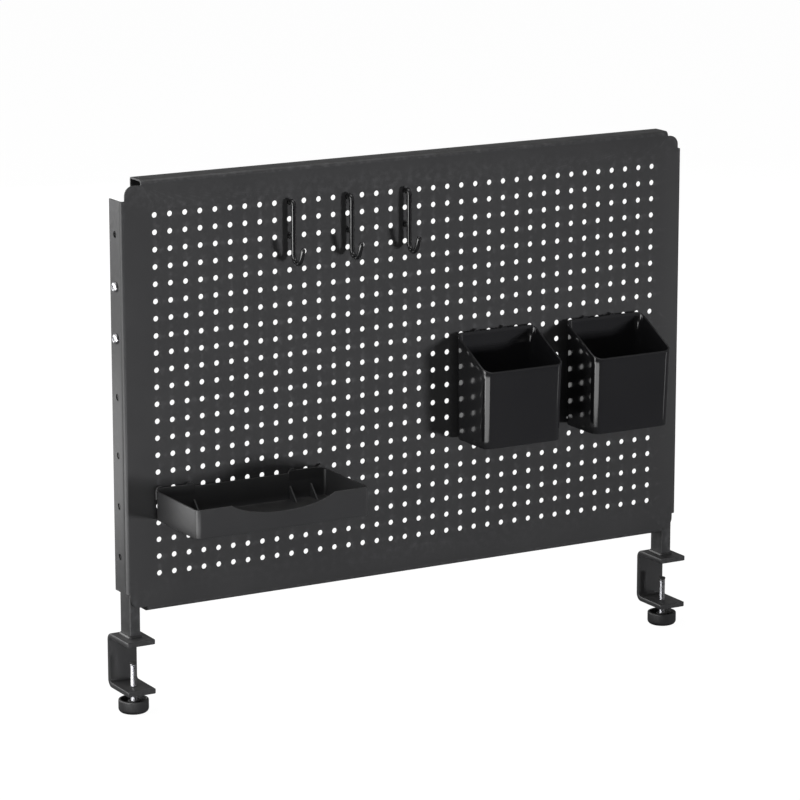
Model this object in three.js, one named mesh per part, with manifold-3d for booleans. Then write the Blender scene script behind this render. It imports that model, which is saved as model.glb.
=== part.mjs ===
// A desk-edge pegboard: a folded steel panel on two posts, each welded to a screw clamp,
// with three wire hooks, two pen cups and a tray. Millimetres, +Z up, +Y towards the back.
// Origin: on the desk top's plane (the undersides of the upper jaws), midway between the
// two clamps and in line with the panel's front face.
import * as THREE from 'three';
import { mergeVertices } from 'three/addons/utils/BufferGeometryUtils.js';
import Module from 'manifold-3d';

// ---- Driving dimensions -------------------------------------------------------------
const GAP = 0.3; // between pieces that touch

// The folded sheet panel
const PANEL_WIDTH = 600;
const PANEL_HEIGHT = 399;
const PANEL_BOTTOM = 29; // above the desk top
const SHEET = 1.5;
const BEND_RADIUS = 4; // outside of the fold
const CORNER_RADIUS = 9;
const CORNER_INSET = 4.5; // the flat corner stands this far inside the folds
const FLANGE_DEPTH = 23;
const LIP_HEIGHT = 12; // return lip along the back of the top and bottom flanges
const SIDE_FOLD_END = 18; // each side fold stops this far short of the panel's corner
const FOLD_ENDS = { left: 21, right: 16 }; // the same for the top and bottom folds

// The grid of peg holes: only the holes that pegs use are cut here
const COLUMNS = 36;
const ROWS = 22;
const COLUMN_PITCH = 15.2;
const ROW_PITCH = 15.8;
const GRID_RISE = 1; // the grid's middle, above the panel's
const PEG_HOLE = 5.5;

// Pegs: they slope down behind the panel, so that weight keeps them home
const PEG_DIAMETER = 4.7;
const PEG_SLOPE = THREE.MathUtils.degToRad(15);
const PEG_REACH = 8.5; // past the middle of the sheet, along the slope

// Height-setting holes in the side flanges, measured from the grid's middle
const FLANGE_HOLE_HEIGHTS = [-149.3, -101.8, -54.3, 0, 54.3, 101.8, 149.3];
const SCREWED_HEIGHTS = { lower: 54.3, upper: 101.8 };
const FLANGE_HOLE = 6;
const HOLE_DEPTH = 12.3; // behind the front face

// Posts of rectangular tube
const POST_WIDTH = 11;
const POST_DEPTH = 20;
const POST_WALL = 1.5;
const POST_CORNER = 1.5;
const POST_TOP = 392;
const POST_FRONT = 2; // behind the panel's front face
const POST_X = 290.8; // middle of the tube, from the origin

// Screws and rivet nuts that hold the panel to the posts
const SCREW_HEAD = 9.6;
const SCREW_HEAD_HEIGHT = 2.8;
const SCREW_SHANK = 5;
const SCREW_LENGTH = 10.5;
const SOCKET_ACROSS_FLATS = 3;
const SOCKET_DEPTH = 1.7;
const NUT_FLANGE = 9.4;
const NUT_FLANGE_THICKNESS = 1.6;
const NUT_BARREL = 6.8;
const NUT_LENGTH = 8;
const NUT_BORE = 5.6;

// Clamps of bent flat bar
const BAR_WIDTH = 28;
const BAR_THICKNESS = 5;
const BAR_INNER_BEND = 2.5;
const BAR_EDGE_BEVEL = 0.7;
const JAW_FRONT = -10.5;
const WEB_INNER = 28;
const THROAT = 42;

// Clamp screws, with a cap at the tip and a cup-shaped knob
const SPINDLE_Y = 8;
const SPINDLE_DIAMETER = 5.8;
const SPINDLE_HOLE = 6.5;
const TIP_TOP = -19.4; // below the upper jaw
const TIP_HEIGHT = 1.8;
const TIP_DIAMETER = 6.2;
const SPIGOT_DIAMETER = 3.4;
const SPIGOT_HEIGHT = 1.1;
const KNOB_TOP = -54.4;
const KNOB_HEIGHT = 12.5;
const KNOB_DIAMETER = 28.2;
const KNOB_RECESS = 5.5;
const KNOB_HUB = 11;
const KNOB_FLOOR = 3;

// Wire hooks, by the column of holes that each hangs in
const HOOK_COLUMNS = [9, 13, 17];
const HOOK_ROWS = [0, 2];
const HOOK_STANDOFF = 7.5; // wire's middle, in front of the panel
const HOOK_TOP_BEND = 4;
const HOOK_DROP = 47.5; // from the upper hole to the start of the J
const HOOK_J_RADIUS = 7.3;
const HOOK_J_TURN = THREE.MathUtils.degToRad(158);
const HOOK_TIP_LENGTH = 9.5;

// Pen cups: rounded boxes with a sloping mouth, by the two columns that each hangs in
const CUP_COLUMNS = { pen_cup_left: [22, 24], pen_cup_right: [30, 32] };
const CUP_ROW = 9;
const CUP_OFFSET = 4.9; // cup's middle, to the right of the middle of its pegs
const CUP_WIDTH = 88;
const CUP_DEPTH = 60.5;
const CUP_CORNER = 9;
const CUP_WALL = 2;
const CUP_BOTTOM = 153;
const CUP_BACK_TOP = 255;
const CUP_FRONT_TOP = 225;
const CUP_SIDE_DRAFT = 1.3; // how much nearer each side stands at the bottom
const CUP_FRONT_DRAFT = 4;
const HANG_GAP = 1.5; // cups and tray stand this far off the panel

// Tray: a shallow box with a dip in its front wall
const TRAY_COLUMNS = [0, 2, 9, 11];
const TRAY_ROW = 16;
const TRAY_WIDTH = 176.4;
const TRAY_DEPTH = 83.6;
const TRAY_MIDDLE = -181.8;
const TRAY_CORNER = 4.8;
const TRAY_WALL = 2;
const TRAY_BOTTOM = 114.5;
const TRAY_TOP = 141.8;
const TRAY_DIP_WIDTH = 105;
const TRAY_DIP_DEPTH = 11;
const TRAY_TAB_WIDTH = 39;
const TRAY_TAB_RISE = 2.3;
const TRAY_TAB_CENTRES = [-249.7, -114.7];
const GUSSET_PLACES = [-71.7, -49.7, 49.7, 71.7]; // from the tray's middle
const GUSSET_SIZE = 15;
const GUSSET_THICKNESS = 1.6;

// Lugs that carry the pegs at the back of a cup or tray
const LUG_WIDTH = 8.5;
const LUG_RISE = 3.4; // above the middle of the peg's hole

// Smoothness
const ROUND_SIDES = 24;
const WIRE_SIDES = 10;
const WIRE_STEPS = 44;
const CORNER_STEPS = 5;

// ---- Worked-out places --------------------------------------------------------------
const PANEL_MIDDLE = PANEL_BOTTOM + PANEL_HEIGHT / 2;
const GRID_MIDDLE = PANEL_MIDDLE + GRID_RISE;
const BAR_OUTER_BEND = BAR_INNER_BEND + BAR_THICKNESS;
const SIDES = { left: -1, right: 1 };
const columnX = (column) => (column - (COLUMNS - 1) / 2) * COLUMN_PITCH;
const rowZ = (row) => GRID_MIDDLE + ((ROWS - 1) / 2 - row) * ROW_PITCH;

// ---- Finishes -----------------------------------------------------------------------
const finish = (color, roughness, metalness) =>
  new THREE.MeshStandardMaterial({ color, roughness, metalness });
const POWDER_COAT = finish(0x2b2b2c, 0.5, 0.1);
const GLOSS_BLACK = finish(0x17181a, 0.2, 0.0);
const MATTE_PLASTIC = finish(0x222324, 0.55, 0.0);
const ZINC = finish(0xc4c6c9, 0.3, 1.0);
const RUBBER = finish(0x1a1a1b, 0.8, 0.0);

// ---- Solids -------------------------------------------------------------------------
const wasm = await Module();
wasm.setup();

// A closed geometry as a solid that can be joined and cut, its faces turned outwards.
function solidOf(geometry) {
  const bare = geometry.clone();
  for (const name of Object.keys(bare.attributes)) {
    if (name !== 'position') bare.deleteAttribute(name);
  }
  const merged = mergeVertices(bare, 1e-4);
  const points = new Float32Array(merged.attributes.position.array);
  const corners = new Uint32Array(merged.index.array);
  if (signedVolume(points, corners) < 0) corners.reverse();
  return new wasm.Manifold(new wasm.Mesh({
    numProp: 3,
    vertProperties: points,
    triVerts: corners,
  }));
}

function signedVolume(points, corners) {
  const [a, b, c] = [new THREE.Vector3(), new THREE.Vector3(), new THREE.Vector3()];
  let total = 0;
  for (let i = 0; i < corners.length; i += 3) {
    a.fromArray(points, corners[i] * 3);
    b.fromArray(points, corners[i + 1] * 3);
    c.fromArray(points, corners[i + 2] * 3);
    total += a.dot(b.cross(c));
  }
  return total / 6;
}

function geometryOf(solid) {
  const mesh = solid.getMesh();
  const geometry = new THREE.BufferGeometry();
  const points = new Float32Array(mesh.vertProperties);
  geometry.setAttribute('position', new THREE.BufferAttribute(points, 3));
  geometry.setIndex(new THREE.BufferAttribute(new Uint32Array(mesh.triVerts), 1));
  geometry.computeVertexNormals();
  return geometry;
}

const joined = (solids) => solids.reduce((whole, piece) => whole.add(piece));
const cut = (solid, cutters) => solid.subtract(joined(cutters));

// ---- Geometry helpers ---------------------------------------------------------------
// An outline in a plane, extruded: 'x' takes (y, z) points, 'y' takes (x, z), 'z' (x, y).
function prism(points, along, from, to, bevel = 0) {
  const shape = new THREE.Shape(points.map(([u, v]) => new THREE.Vector2(u, v)));
  const geometry = new THREE.ExtrudeGeometry(shape, {
    depth: to - from - 2 * bevel,
    bevelEnabled: bevel > 0,
    bevelSize: bevel,
    bevelOffset: -bevel,
    bevelThickness: bevel,
    bevelSegments: 2,
  });
  geometry.translate(0, 0, from + bevel);
  const turn = new THREE.Matrix4();
  if (along === 'x') turn.set(0, 0, 1, 0, 1, 0, 0, 0, 0, 1, 0, 0, 0, 0, 0, 1);
  if (along === 'y') turn.set(1, 0, 0, 0, 0, 0, 1, 0, 0, 1, 0, 0, 0, 0, 0, 1);
  return geometry.applyMatrix4(turn);
}

function arc(cx, cy, radius, from, to, steps = CORNER_STEPS) {
  return Array.from({ length: steps + 1 }, (_, i) => {
    const angle = THREE.MathUtils.degToRad(from + ((to - from) * i) / steps);
    return [cx + radius * Math.cos(angle), cy + radius * Math.sin(angle)];
  });
}

function roundedBox(x0, x1, y0, y1, radius, steps = CORNER_STEPS) {
  return [
    ...arc(x1 - radius, y0 + radius, radius, -90, 0, steps),
    ...arc(x1 - radius, y1 - radius, radius, 0, 90, steps),
    ...arc(x0 + radius, y1 - radius, radius, 90, 180, steps),
    ...arc(x0 + radius, y0 + radius, radius, 180, 270, steps),
  ];
}

// A round bar from one point to another.
function rod(from, to, diameter, sides = ROUND_SIDES) {
  const direction = to.clone().sub(from);
  const radius = diameter / 2;
  const geometry = new THREE.CylinderGeometry(radius, radius, direction.length(), sides);
  const up = new THREE.Vector3(0, 1, 0);
  const turn = new THREE.Quaternion().setFromUnitVectors(up, direction.clone().normalize());
  geometry.applyQuaternion(turn);
  const middle = from.clone().add(to).multiplyScalar(0.5);
  return geometry.translate(middle.x, middle.y, middle.z);
}

const rodAlongX = (x0, x1, y, z, diameter) =>
  rod(new THREE.Vector3(x0, y, z), new THREE.Vector3(x1, y, z), diameter);
const rodAlongY = (x, y0, y1, z, diameter) =>
  rod(new THREE.Vector3(x, y0, z), new THREE.Vector3(x, y1, z), diameter);

// A turned shape about the vertical axis, from (radius, height) points.
function turned(profile, x, y) {
  const points = profile.map(([r, z]) => new THREE.Vector2(r, z));
  const geometry = new THREE.LatheGeometry(points, ROUND_SIDES);
  geometry.rotateX(Math.PI / 2);
  return geometry.translate(x, y, 0);
}

// A lofted rounded box, with one outline at the bottom and another at the top.
function taperedBox(bottom, top, z0, z1) {
  const count = bottom.length;
  const points = [...bottom.map(([x, y]) => [x, y, z0]), ...top.map(([x, y]) => [x, y, z1])];
  const faces = [];
  for (let i = 0; i < count; i += 1) {
    const next = (i + 1) % count;
    faces.push(i, next, count + next, i, count + next, count + i);
  }
  for (let i = 1; i < count - 1; i += 1) {
    faces.push(0, i + 1, i, count, count + i, count + i + 1);
  }
  const geometry = new THREE.BufferGeometry();
  geometry.setAttribute('position', new THREE.Float32BufferAttribute(points.flat(), 3));
  geometry.setIndex(faces);
  return geometry;
}

// ---- The assembly -------------------------------------------------------------------
const group = new THREE.Group();

function addMesh(name, geometry, material, parent = group) {
  const mesh = new THREE.Mesh(geometry, material);
  mesh.name = name;
  parent.add(mesh);
  return mesh;
}

// The middle of the sheet in a peg's hole, and the unit way that the peg points.
const pegSeat = (column, row) => new THREE.Vector3(columnX(column), SHEET / 2, rowZ(row));
const PEG_WAY = new THREE.Vector3(0, Math.cos(PEG_SLOPE), -Math.sin(PEG_SLOPE));
const alongPeg = (seat, distance) => seat.clone().addScaledVector(PEG_WAY, distance);

// A peg that starts at depth y in front of the panel and ends behind it.
function pegSolid(column, row, startY) {
  const seat = pegSeat(column, row);
  const start = alongPeg(seat, (startY - seat.y) / Math.cos(PEG_SLOPE));
  return solidOf(rod(start, alongPeg(seat, PEG_REACH), PEG_DIAMETER));
}

// Folded panel: a flat front, plain flanges at the sides, and flanges with a return lip
// at the top and bottom. The folds stop short of the rounded corners.
function pegboardPanel() {
  const halfWidth = PANEL_WIDTH / 2;
  const halfHeight = PANEL_HEIGHT / 2;
  const foldZ = halfHeight - SIDE_FOLD_END;
  const [foldLeft, foldRight] = [halfWidth - FOLD_ENDS.left, halfWidth - FOLD_ENDS.right];
  const flatX = halfWidth - BEND_RADIUS;
  const flatZ = halfHeight - BEND_RADIUS;
  const innerBend = BEND_RADIUS - SHEET;

  const [cornerX, cornerZ] = [halfWidth - CORNER_INSET, halfHeight - CORNER_INSET];
  const corner = arc(cornerX - CORNER_RADIUS, cornerZ - CORNER_RADIUS, CORNER_RADIUS, 0, 90, 8);
  const quarter = (foldX) => [
    [flatX, foldZ], [cornerX, foldZ], ...corner, [foldX, cornerZ], [foldX, flatZ]];
  const upperLeft = quarter(foldLeft).map(([x, z]) => [-x, z]).reverse();
  const upper = [...quarter(foldRight), ...upperLeft];
  const lower = upper.map(([x, z]) => [x, -z]).reverse();
  const outline = [...upper, ...lower].map(([x, z]) => [x, PANEL_MIDDLE + z]);
  const front = solidOf(prism(outline, 'y', 0, SHEET));

  // Section of a fold: u runs outwards from the panel's middle, v towards the back.
  const fold = (edge, depth, lip) => {
    const bendAt = edge - BEND_RADIUS;
    const outer = arc(bendAt, BEND_RADIUS, BEND_RADIUS, -90, 0);
    const inner = arc(bendAt, BEND_RADIUS, innerBend, 0, -90);
    const back = lip > 0
      ? [[edge, depth], [edge - lip, depth], [edge - lip, depth - SHEET], [edge - SHEET, depth - SHEET]]
      : [[edge, depth], [edge - SHEET, depth]];
    return [[bendAt - SHEET, 0], ...outer, ...back, ...inner, [bendAt - SHEET, SHEET]];
  };

  const pieces = [front];
  for (const sign of [-1, 1]) {
    const side = fold(halfWidth, FLANGE_DEPTH, 0).map(([u, v]) => [sign * u, v]);
    pieces.push(solidOf(prism(side, 'z', PANEL_MIDDLE - foldZ, PANEL_MIDDLE + foldZ)));
    const edge = fold(halfHeight, FLANGE_DEPTH, LIP_HEIGHT);
    const section = edge.map(([u, v]) => [v, PANEL_MIDDLE + sign * u]);
    pieces.push(solidOf(prism(section, 'x', -foldLeft, foldRight)));
  }

  const pegHoles = [
    ...HOOK_COLUMNS.flatMap((column) => HOOK_ROWS.map((row) => [column, row])),
    ...Object.values(CUP_COLUMNS).flat().map((column) => [column, CUP_ROW]),
    ...TRAY_COLUMNS.map((column) => [column, TRAY_ROW]),
  ];
  const cutters = pegHoles.map(([column, row]) =>
    solidOf(rodAlongY(columnX(column), -1, SHEET + 1, rowZ(row), PEG_HOLE)));
  for (const sign of [-1, 1]) {
    for (const height of FLANGE_HOLE_HEIGHTS) {
      const [x0, x1] = [sign * (halfWidth - SHEET - 1), sign * (halfWidth + 1)];
      const hole = rodAlongX(x0, x1, HOLE_DEPTH, GRID_MIDDLE + height, FLANGE_HOLE);
      cutters.push(solidOf(hole));
    }
  }
  return geometryOf(cut(joined(pieces), cutters));
}

addMesh('pegboard_panel', pegboardPanel(), POWDER_COAT);

// Post: rectangular tube, open at the bottom on the clamp and plugged at the top, with a
// hole for each rivet nut in its outer wall.
function postTube(sign) {
  const x = sign * POST_X;
  const [x0, x1] = [x - POST_WIDTH / 2, x + POST_WIDTH / 2];
  const [y0, y1] = [POST_FRONT, POST_FRONT + POST_DEPTH];
  const bottom = BAR_THICKNESS + GAP;
  const outer = prism(roundedBox(x0, x1, y0, y1, POST_CORNER, 3), 'z', bottom, POST_TOP);
  const hollow = roundedBox(
    x0 + POST_WALL, x1 - POST_WALL, y0 + POST_WALL, y1 - POST_WALL, POST_CORNER / 2, 2);
  const bore = prism(hollow, 'z', bottom - 1, POST_TOP + 1);
  const nutHoles = Object.values(SCREWED_HEIGHTS).map((height) => {
    const outside = x + sign * (POST_WIDTH / 2 + 1);
    const diameter = NUT_BARREL + 2 * GAP;
    return solidOf(rodAlongX(x + sign, outside, HOLE_DEPTH, GRID_MIDDLE + height, diameter));
  });
  return geometryOf(cut(solidOf(outer), [solidOf(bore), ...nutHoles]));
}

// Plug in the top of a post: a lid over the tube's end and a stem inside it.
function postCap(sign) {
  const x = sign * POST_X;
  const middleY = POST_FRONT + POST_DEPTH / 2;
  const plate = (inset, z0, z1, radius) => {
    const [halfX, halfY] = [POST_WIDTH / 2 - inset, POST_DEPTH / 2 - inset];
    const outline = roundedBox(x - halfX, x + halfX, middleY - halfY, middleY + halfY, radius, 3);
    return solidOf(prism(outline, 'z', z0, z1));
  };
  const lid = plate(0, POST_TOP + GAP, POST_TOP + 2.2, POST_CORNER);
  const stem = plate(POST_WALL + GAP, POST_TOP - 10, POST_TOP + 1, 0.6);
  return geometryOf(lid.add(stem));
}

// Clamp frame: flat bar bent into a C that opens to the front, with the screw's hole
// through its lower jaw.
function clampFrame(sign) {
  const top = BAR_THICKNESS;
  const lowerTop = -THROAT;
  const bottom = lowerTop - BAR_THICKNESS;
  const back = WEB_INNER + BAR_THICKNESS;
  const bendY = back - BAR_OUTER_BEND;
  const topZ = top - BAR_OUTER_BEND;
  const bottomZ = bottom + BAR_OUTER_BEND;
  const section = [
    [JAW_FRONT, bottom],
    ...arc(bendY, bottomZ, BAR_OUTER_BEND, -90, 0),
    ...arc(bendY, topZ, BAR_OUTER_BEND, 0, 90),
    [JAW_FRONT, top],
    [JAW_FRONT, 0],
    ...arc(bendY, topZ, BAR_INNER_BEND, 90, 0),
    ...arc(bendY, bottomZ, BAR_INNER_BEND, 0, -90),
    [JAW_FRONT, lowerTop],
  ];
  const x = sign * POST_X;
  const [x0, x1] = [x - BAR_WIDTH / 2, x + BAR_WIDTH / 2];
  const bar = solidOf(prism(section, 'x', x0, x1, BAR_EDGE_BEVEL));
  const holeFrom = new THREE.Vector3(x, SPINDLE_Y, bottom - 1);
  const holeTo = new THREE.Vector3(x, SPINDLE_Y, lowerTop + 1);
  return geometryOf(bar.subtract(solidOf(rod(holeFrom, holeTo, SPINDLE_HOLE))));
}

// Clamp screw: a threaded bar with a thin spigot at its top for the tip cap.
function clampScrew(sign) {
  const radius = SPINDLE_DIAMETER / 2;
  const spigot = SPIGOT_DIAMETER / 2;
  const shoulder = TIP_TOP - TIP_HEIGHT - GAP;
  const foot = KNOB_TOP - KNOB_HEIGHT + KNOB_FLOOR + GAP;
  return turned([
    [0, foot],
    [radius - 0.6, foot],
    [radius, foot + 0.6],
    [radius, shoulder - 0.5],
    [radius - 0.5, shoulder],
    [spigot, shoulder],
    [spigot, shoulder + SPIGOT_HEIGHT],
    [0, shoulder + SPIGOT_HEIGHT],
  ], sign * POST_X, SPINDLE_Y);
}

// Tip cap: it stays still on the desk's underside while the screw turns in it.
function screwTip(sign) {
  const radius = TIP_DIAMETER / 2;
  const bore = SPIGOT_DIAMETER / 2 + GAP;
  const bottom = TIP_TOP - TIP_HEIGHT;
  const boreTop = bottom - GAP + SPIGOT_HEIGHT + GAP;
  return turned([
    [0, boreTop],
    [bore, boreTop],
    [bore, bottom],
    [radius, bottom],
    [radius, TIP_TOP - 0.6],
    [radius - 0.6, TIP_TOP],
    [0, TIP_TOP],
  ], sign * POST_X, SPINDLE_Y);
}

// Knob: a cup with a raised rim, a hub that grips the screw, and a rounded lower edge.
function clampKnob(sign) {
  const radius = KNOB_DIAMETER / 2;
  const bottom = KNOB_TOP - KNOB_HEIGHT;
  const bore = SPINDLE_DIAMETER / 2 + GAP;
  const recess = KNOB_TOP - KNOB_RECESS;
  const lowerEdge = 4;
  return turned([
    [0, bottom],
    ...arc(radius - lowerEdge, bottom + lowerEdge, lowerEdge, -90, 0, 4),
    [radius, KNOB_TOP - 1],
    [radius - 1, KNOB_TOP],
    [radius - 2.4, KNOB_TOP],
    [radius - 3, recess],
    [KNOB_HUB / 2, recess],
    [KNOB_HUB / 2, KNOB_TOP - 1.5],
    [bore, KNOB_TOP - 1.5],
    [bore, bottom + KNOB_FLOOR],
    [0, bottom + KNOB_FLOOR],
  ], sign * POST_X, SPINDLE_Y);
}

// Button-head screw through the side flange, with a hexagon socket.
function panelScrew(sign, z) {
  const seat = PANEL_WIDTH / 2 + GAP;
  const radius = SCREW_HEAD / 2;
  const profile = [
    [0, -SCREW_LENGTH],
    [SCREW_SHANK / 2 - 0.5, -SCREW_LENGTH],
    [SCREW_SHANK / 2, -SCREW_LENGTH + 0.5],
    [SCREW_SHANK / 2, 0],
    [radius, 0],
    [radius, 0.7],
    [radius * 0.88, SCREW_HEAD_HEIGHT * 0.62],
    [radius * 0.6, SCREW_HEAD_HEIGHT * 0.93],
    [radius * 0.36, SCREW_HEAD_HEIGHT],
    [0, SCREW_HEAD_HEIGHT],
  ];
  const across = SOCKET_ACROSS_FLATS / Math.cos(Math.PI / 6);
  const socketFloor = new THREE.Vector3(0, 0, SCREW_HEAD_HEIGHT - SOCKET_DEPTH);
  const socketMouth = new THREE.Vector3(0, 0, SCREW_HEAD_HEIGHT + 1);
  const socket = solidOf(rod(socketFloor, socketMouth, across, 6));
  const screw = geometryOf(solidOf(turned(profile, 0, 0)).subtract(socket));
  screw.rotateY(sign * Math.PI / 2);
  return screw.translate(sign * seat, HOLE_DEPTH, z);
}

// Rivet nut: a threaded barrel in the post's wall, with a flange on the outside.
function rivetNut(sign, z) {
  const seat = POST_X + POST_WIDTH / 2 + GAP;
  const [flange, barrel, bore] = [NUT_FLANGE / 2, NUT_BARREL / 2, NUT_BORE / 2];
  const nut = turned([
    [bore, -NUT_LENGTH],
    [barrel, -NUT_LENGTH],
    [barrel, 0],
    [flange, 0],
    [flange, NUT_FLANGE_THICKNESS],
    [bore, NUT_FLANGE_THICKNESS],
    [bore, -NUT_LENGTH],
  ], 0, 0);
  nut.rotateY(sign * Math.PI / 2);
  return nut.translate(sign * seat, HOLE_DEPTH, z);
}

for (const [side, sign] of Object.entries(SIDES)) {
  const stand = new THREE.Group();
  group.add(stand);
  addMesh(`${side}_post`, postTube(sign), POWDER_COAT, stand);
  addMesh(`${side}_post_cap`, postCap(sign), MATTE_PLASTIC, stand);
  addMesh(`${side}_clamp_frame`, clampFrame(sign), POWDER_COAT, stand);
  addMesh(`${side}_clamp_screw`, clampScrew(sign), ZINC, stand);
  addMesh(`${side}_screw_tip`, screwTip(sign), RUBBER, stand);
  addMesh(`${side}_clamp_knob`, clampKnob(sign), MATTE_PLASTIC, stand);
  for (const [level, height] of Object.entries(SCREWED_HEIGHTS)) {
    const z = GRID_MIDDLE + height;
    addMesh(`${side}_${level}_panel_screw`, panelScrew(sign, z), ZINC, stand);
    addMesh(`${side}_${level}_rivet_nut`, rivetNut(sign, z), ZINC, stand);
  }
}

// A path of straight runs and round bends through corner points, one radius per corner.
function bentPath(corners, radii) {
  const path = new THREE.CurvePath();
  let last = corners[0];
  for (let i = 1; i < corners.length - 1; i += 1) {
    const [before, at, after] = [corners[i - 1], corners[i], corners[i + 1]];
    const back = before.clone().sub(at).normalize();
    const onward = after.clone().sub(at).normalize();
    const half = back.angleTo(onward) / 2;
    const radius = radii[i - 1];
    const reach = radius / Math.tan(half);
    const start = at.clone().addScaledVector(back, reach);
    const end = at.clone().addScaledVector(onward, reach);
    const centreWay = back.clone().add(onward).normalize();
    const centre = at.clone().addScaledVector(centreWay, radius / Math.sin(half));
    path.add(new THREE.LineCurve3(last, start));
    addArc(path, centre, start, end);
    last = end;
  }
  path.add(new THREE.LineCurve3(last, corners[corners.length - 1]));
  return path;
}

// A round arc about a centre, as short smooth pieces.
function addArc(path, centre, start, end) {
  const from = start.clone().sub(centre);
  const to = end.clone().sub(centre);
  const sweep = from.angleTo(to);
  const axis = from.clone().cross(to).normalize();
  const pieces = 4;
  const handle = (4 / 3) * Math.tan(sweep / pieces / 4);
  const spoke = (i) => from.clone().applyAxisAngle(axis, (sweep * i) / pieces);
  for (let i = 0; i < pieces; i += 1) {
    const [a, b] = [spoke(i), spoke(i + 1)];
    const aHandle = a.clone().addScaledVector(axis.clone().cross(a), handle);
    const bHandle = b.clone().addScaledVector(axis.clone().cross(b), -handle);
    const points = [a, aHandle, bHandle, b].map((point) => point.add(centre));
    path.add(new THREE.CubicBezierCurve3(...points));
  }
}

// Wire hook: one bent wire from the upper hole down to the J, and a short peg welded on
// for the lower hole.
function wireHook(column) {
  const x = columnX(column);
  const wireY = -HOOK_STANDOFF;
  const seat = pegSeat(column, HOOK_ROWS[0]);
  const topCorner = alongPeg(seat, (wireY - seat.y) / Math.cos(PEG_SLOPE));
  const jTop = seat.z - HOOK_DROP;

  // The J turns through two corners of one radius, so its foot is a single round arc.
  const halfTurn = HOOK_J_TURN / 2;
  const cornerReach = HOOK_J_RADIUS * Math.tan(halfTurn / 2);
  const first = new THREE.Vector3(x, wireY, jTop - cornerReach);
  const footWay = new THREE.Vector3(0, -Math.sin(halfTurn), -Math.cos(halfTurn));
  const second = first.clone().addScaledVector(footWay, 2 * cornerReach);
  const tipWay = new THREE.Vector3(0, -Math.sin(HOOK_J_TURN), -Math.cos(HOOK_J_TURN));
  const tip = second.clone().addScaledVector(tipWay, cornerReach + HOOK_TIP_LENGTH);

  const corners = [alongPeg(seat, PEG_REACH), topCorner, first, second, tip];
  const path = bentPath(corners, [HOOK_TOP_BEND, HOOK_J_RADIUS, HOOK_J_RADIUS - 0.001]);
  const circle = arc(0, 0, PEG_DIAMETER / 2, 0, 360, WIRE_SIDES).slice(0, WIRE_SIDES);
  const section = new THREE.Shape(circle.map(([u, v]) => new THREE.Vector2(u, v)));
  const wire = new THREE.ExtrudeGeometry(section, { steps: WIRE_STEPS, extrudePath: path });
  const end = new THREE.SphereGeometry(PEG_DIAMETER / 2, WIRE_SIDES, 8);
  end.translate(tip.x, tip.y, tip.z);
  const peg = pegSolid(column, HOOK_ROWS[1], wireY);
  return geometryOf(joined([solidOf(wire), solidOf(end), peg]));
}

HOOK_COLUMNS.forEach((column, i) => {
  addMesh(`hook_${i + 1}`, wireHook(column), GLOSS_BLACK);
});

// Lug behind a cup or tray, rising round the root of a peg.
function lugSolid(column, row, wall, from) {
  const x = columnX(column);
  const top = rowZ(row) + LUG_RISE;
  const [x0, x1] = [x - LUG_WIDTH / 2, x + LUG_WIDTH / 2];
  const outline = [[x0, from], [x1, from], ...arc(x, top - LUG_WIDTH / 2, LUG_WIDTH / 2, 0, 180, 8)];
  return solidOf(prism(outline, 'y', -HANG_GAP - wall, -HANG_GAP));
}

// Pen cup: a rounded box that narrows a little towards its floor, cut off on a slope so
// that its mouth is high at the back and low at the front.
function penCup(columns) {
  const middle = (columnX(columns[0]) + columnX(columns[1])) / 2 + CUP_OFFSET;
  const back = -HANG_GAP;
  const box = (inset, draft, z0, z1) => {
    const outline = (side, front) => roundedBox(
      middle - CUP_WIDTH / 2 + inset + side,
      middle + CUP_WIDTH / 2 - inset - side,
      back - CUP_DEPTH + inset + front,
      back - inset,
      CUP_CORNER - inset,
    );
    const bottom = outline(CUP_SIDE_DRAFT * draft, CUP_FRONT_DRAFT * draft);
    return solidOf(taperedBox(bottom, outline(0, 0), z0, z1));
  };
  const shell = box(0, 1, CUP_BOTTOM, CUP_BACK_TOP);
  const hollow = box(CUP_WALL, 1, CUP_BOTTOM + CUP_WALL, CUP_BACK_TOP + 1);
  const mouthSlope = (CUP_BACK_TOP - CUP_FRONT_TOP) / CUP_DEPTH;
  const past = 10;
  const slope = [
    [back - CUP_DEPTH - past, CUP_FRONT_TOP - past * mouthSlope],
    [back - CUP_WALL, CUP_BACK_TOP - CUP_WALL * mouthSlope],
    [back - CUP_WALL, CUP_BACK_TOP + past],
    [back - CUP_DEPTH - past, CUP_BACK_TOP + past],
  ];
  const [x0, x1] = [middle - CUP_WIDTH, middle + CUP_WIDTH];
  const mouth = solidOf(prism(slope, 'x', x0, x1));
  const cup = cut(shell, [hollow, mouth]);
  const lugs = columns.map((column) => lugSolid(column, CUP_ROW, CUP_WALL, CUP_BACK_TOP - 12));
  const pegs = columns.map((column) => pegSolid(column, CUP_ROW, back - CUP_WALL / 2));
  return geometryOf(joined([cup, ...lugs, ...pegs]));
}

for (const [name, columns] of Object.entries(CUP_COLUMNS)) {
  addMesh(name, penCup(columns), GLOSS_BLACK);
}

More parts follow.
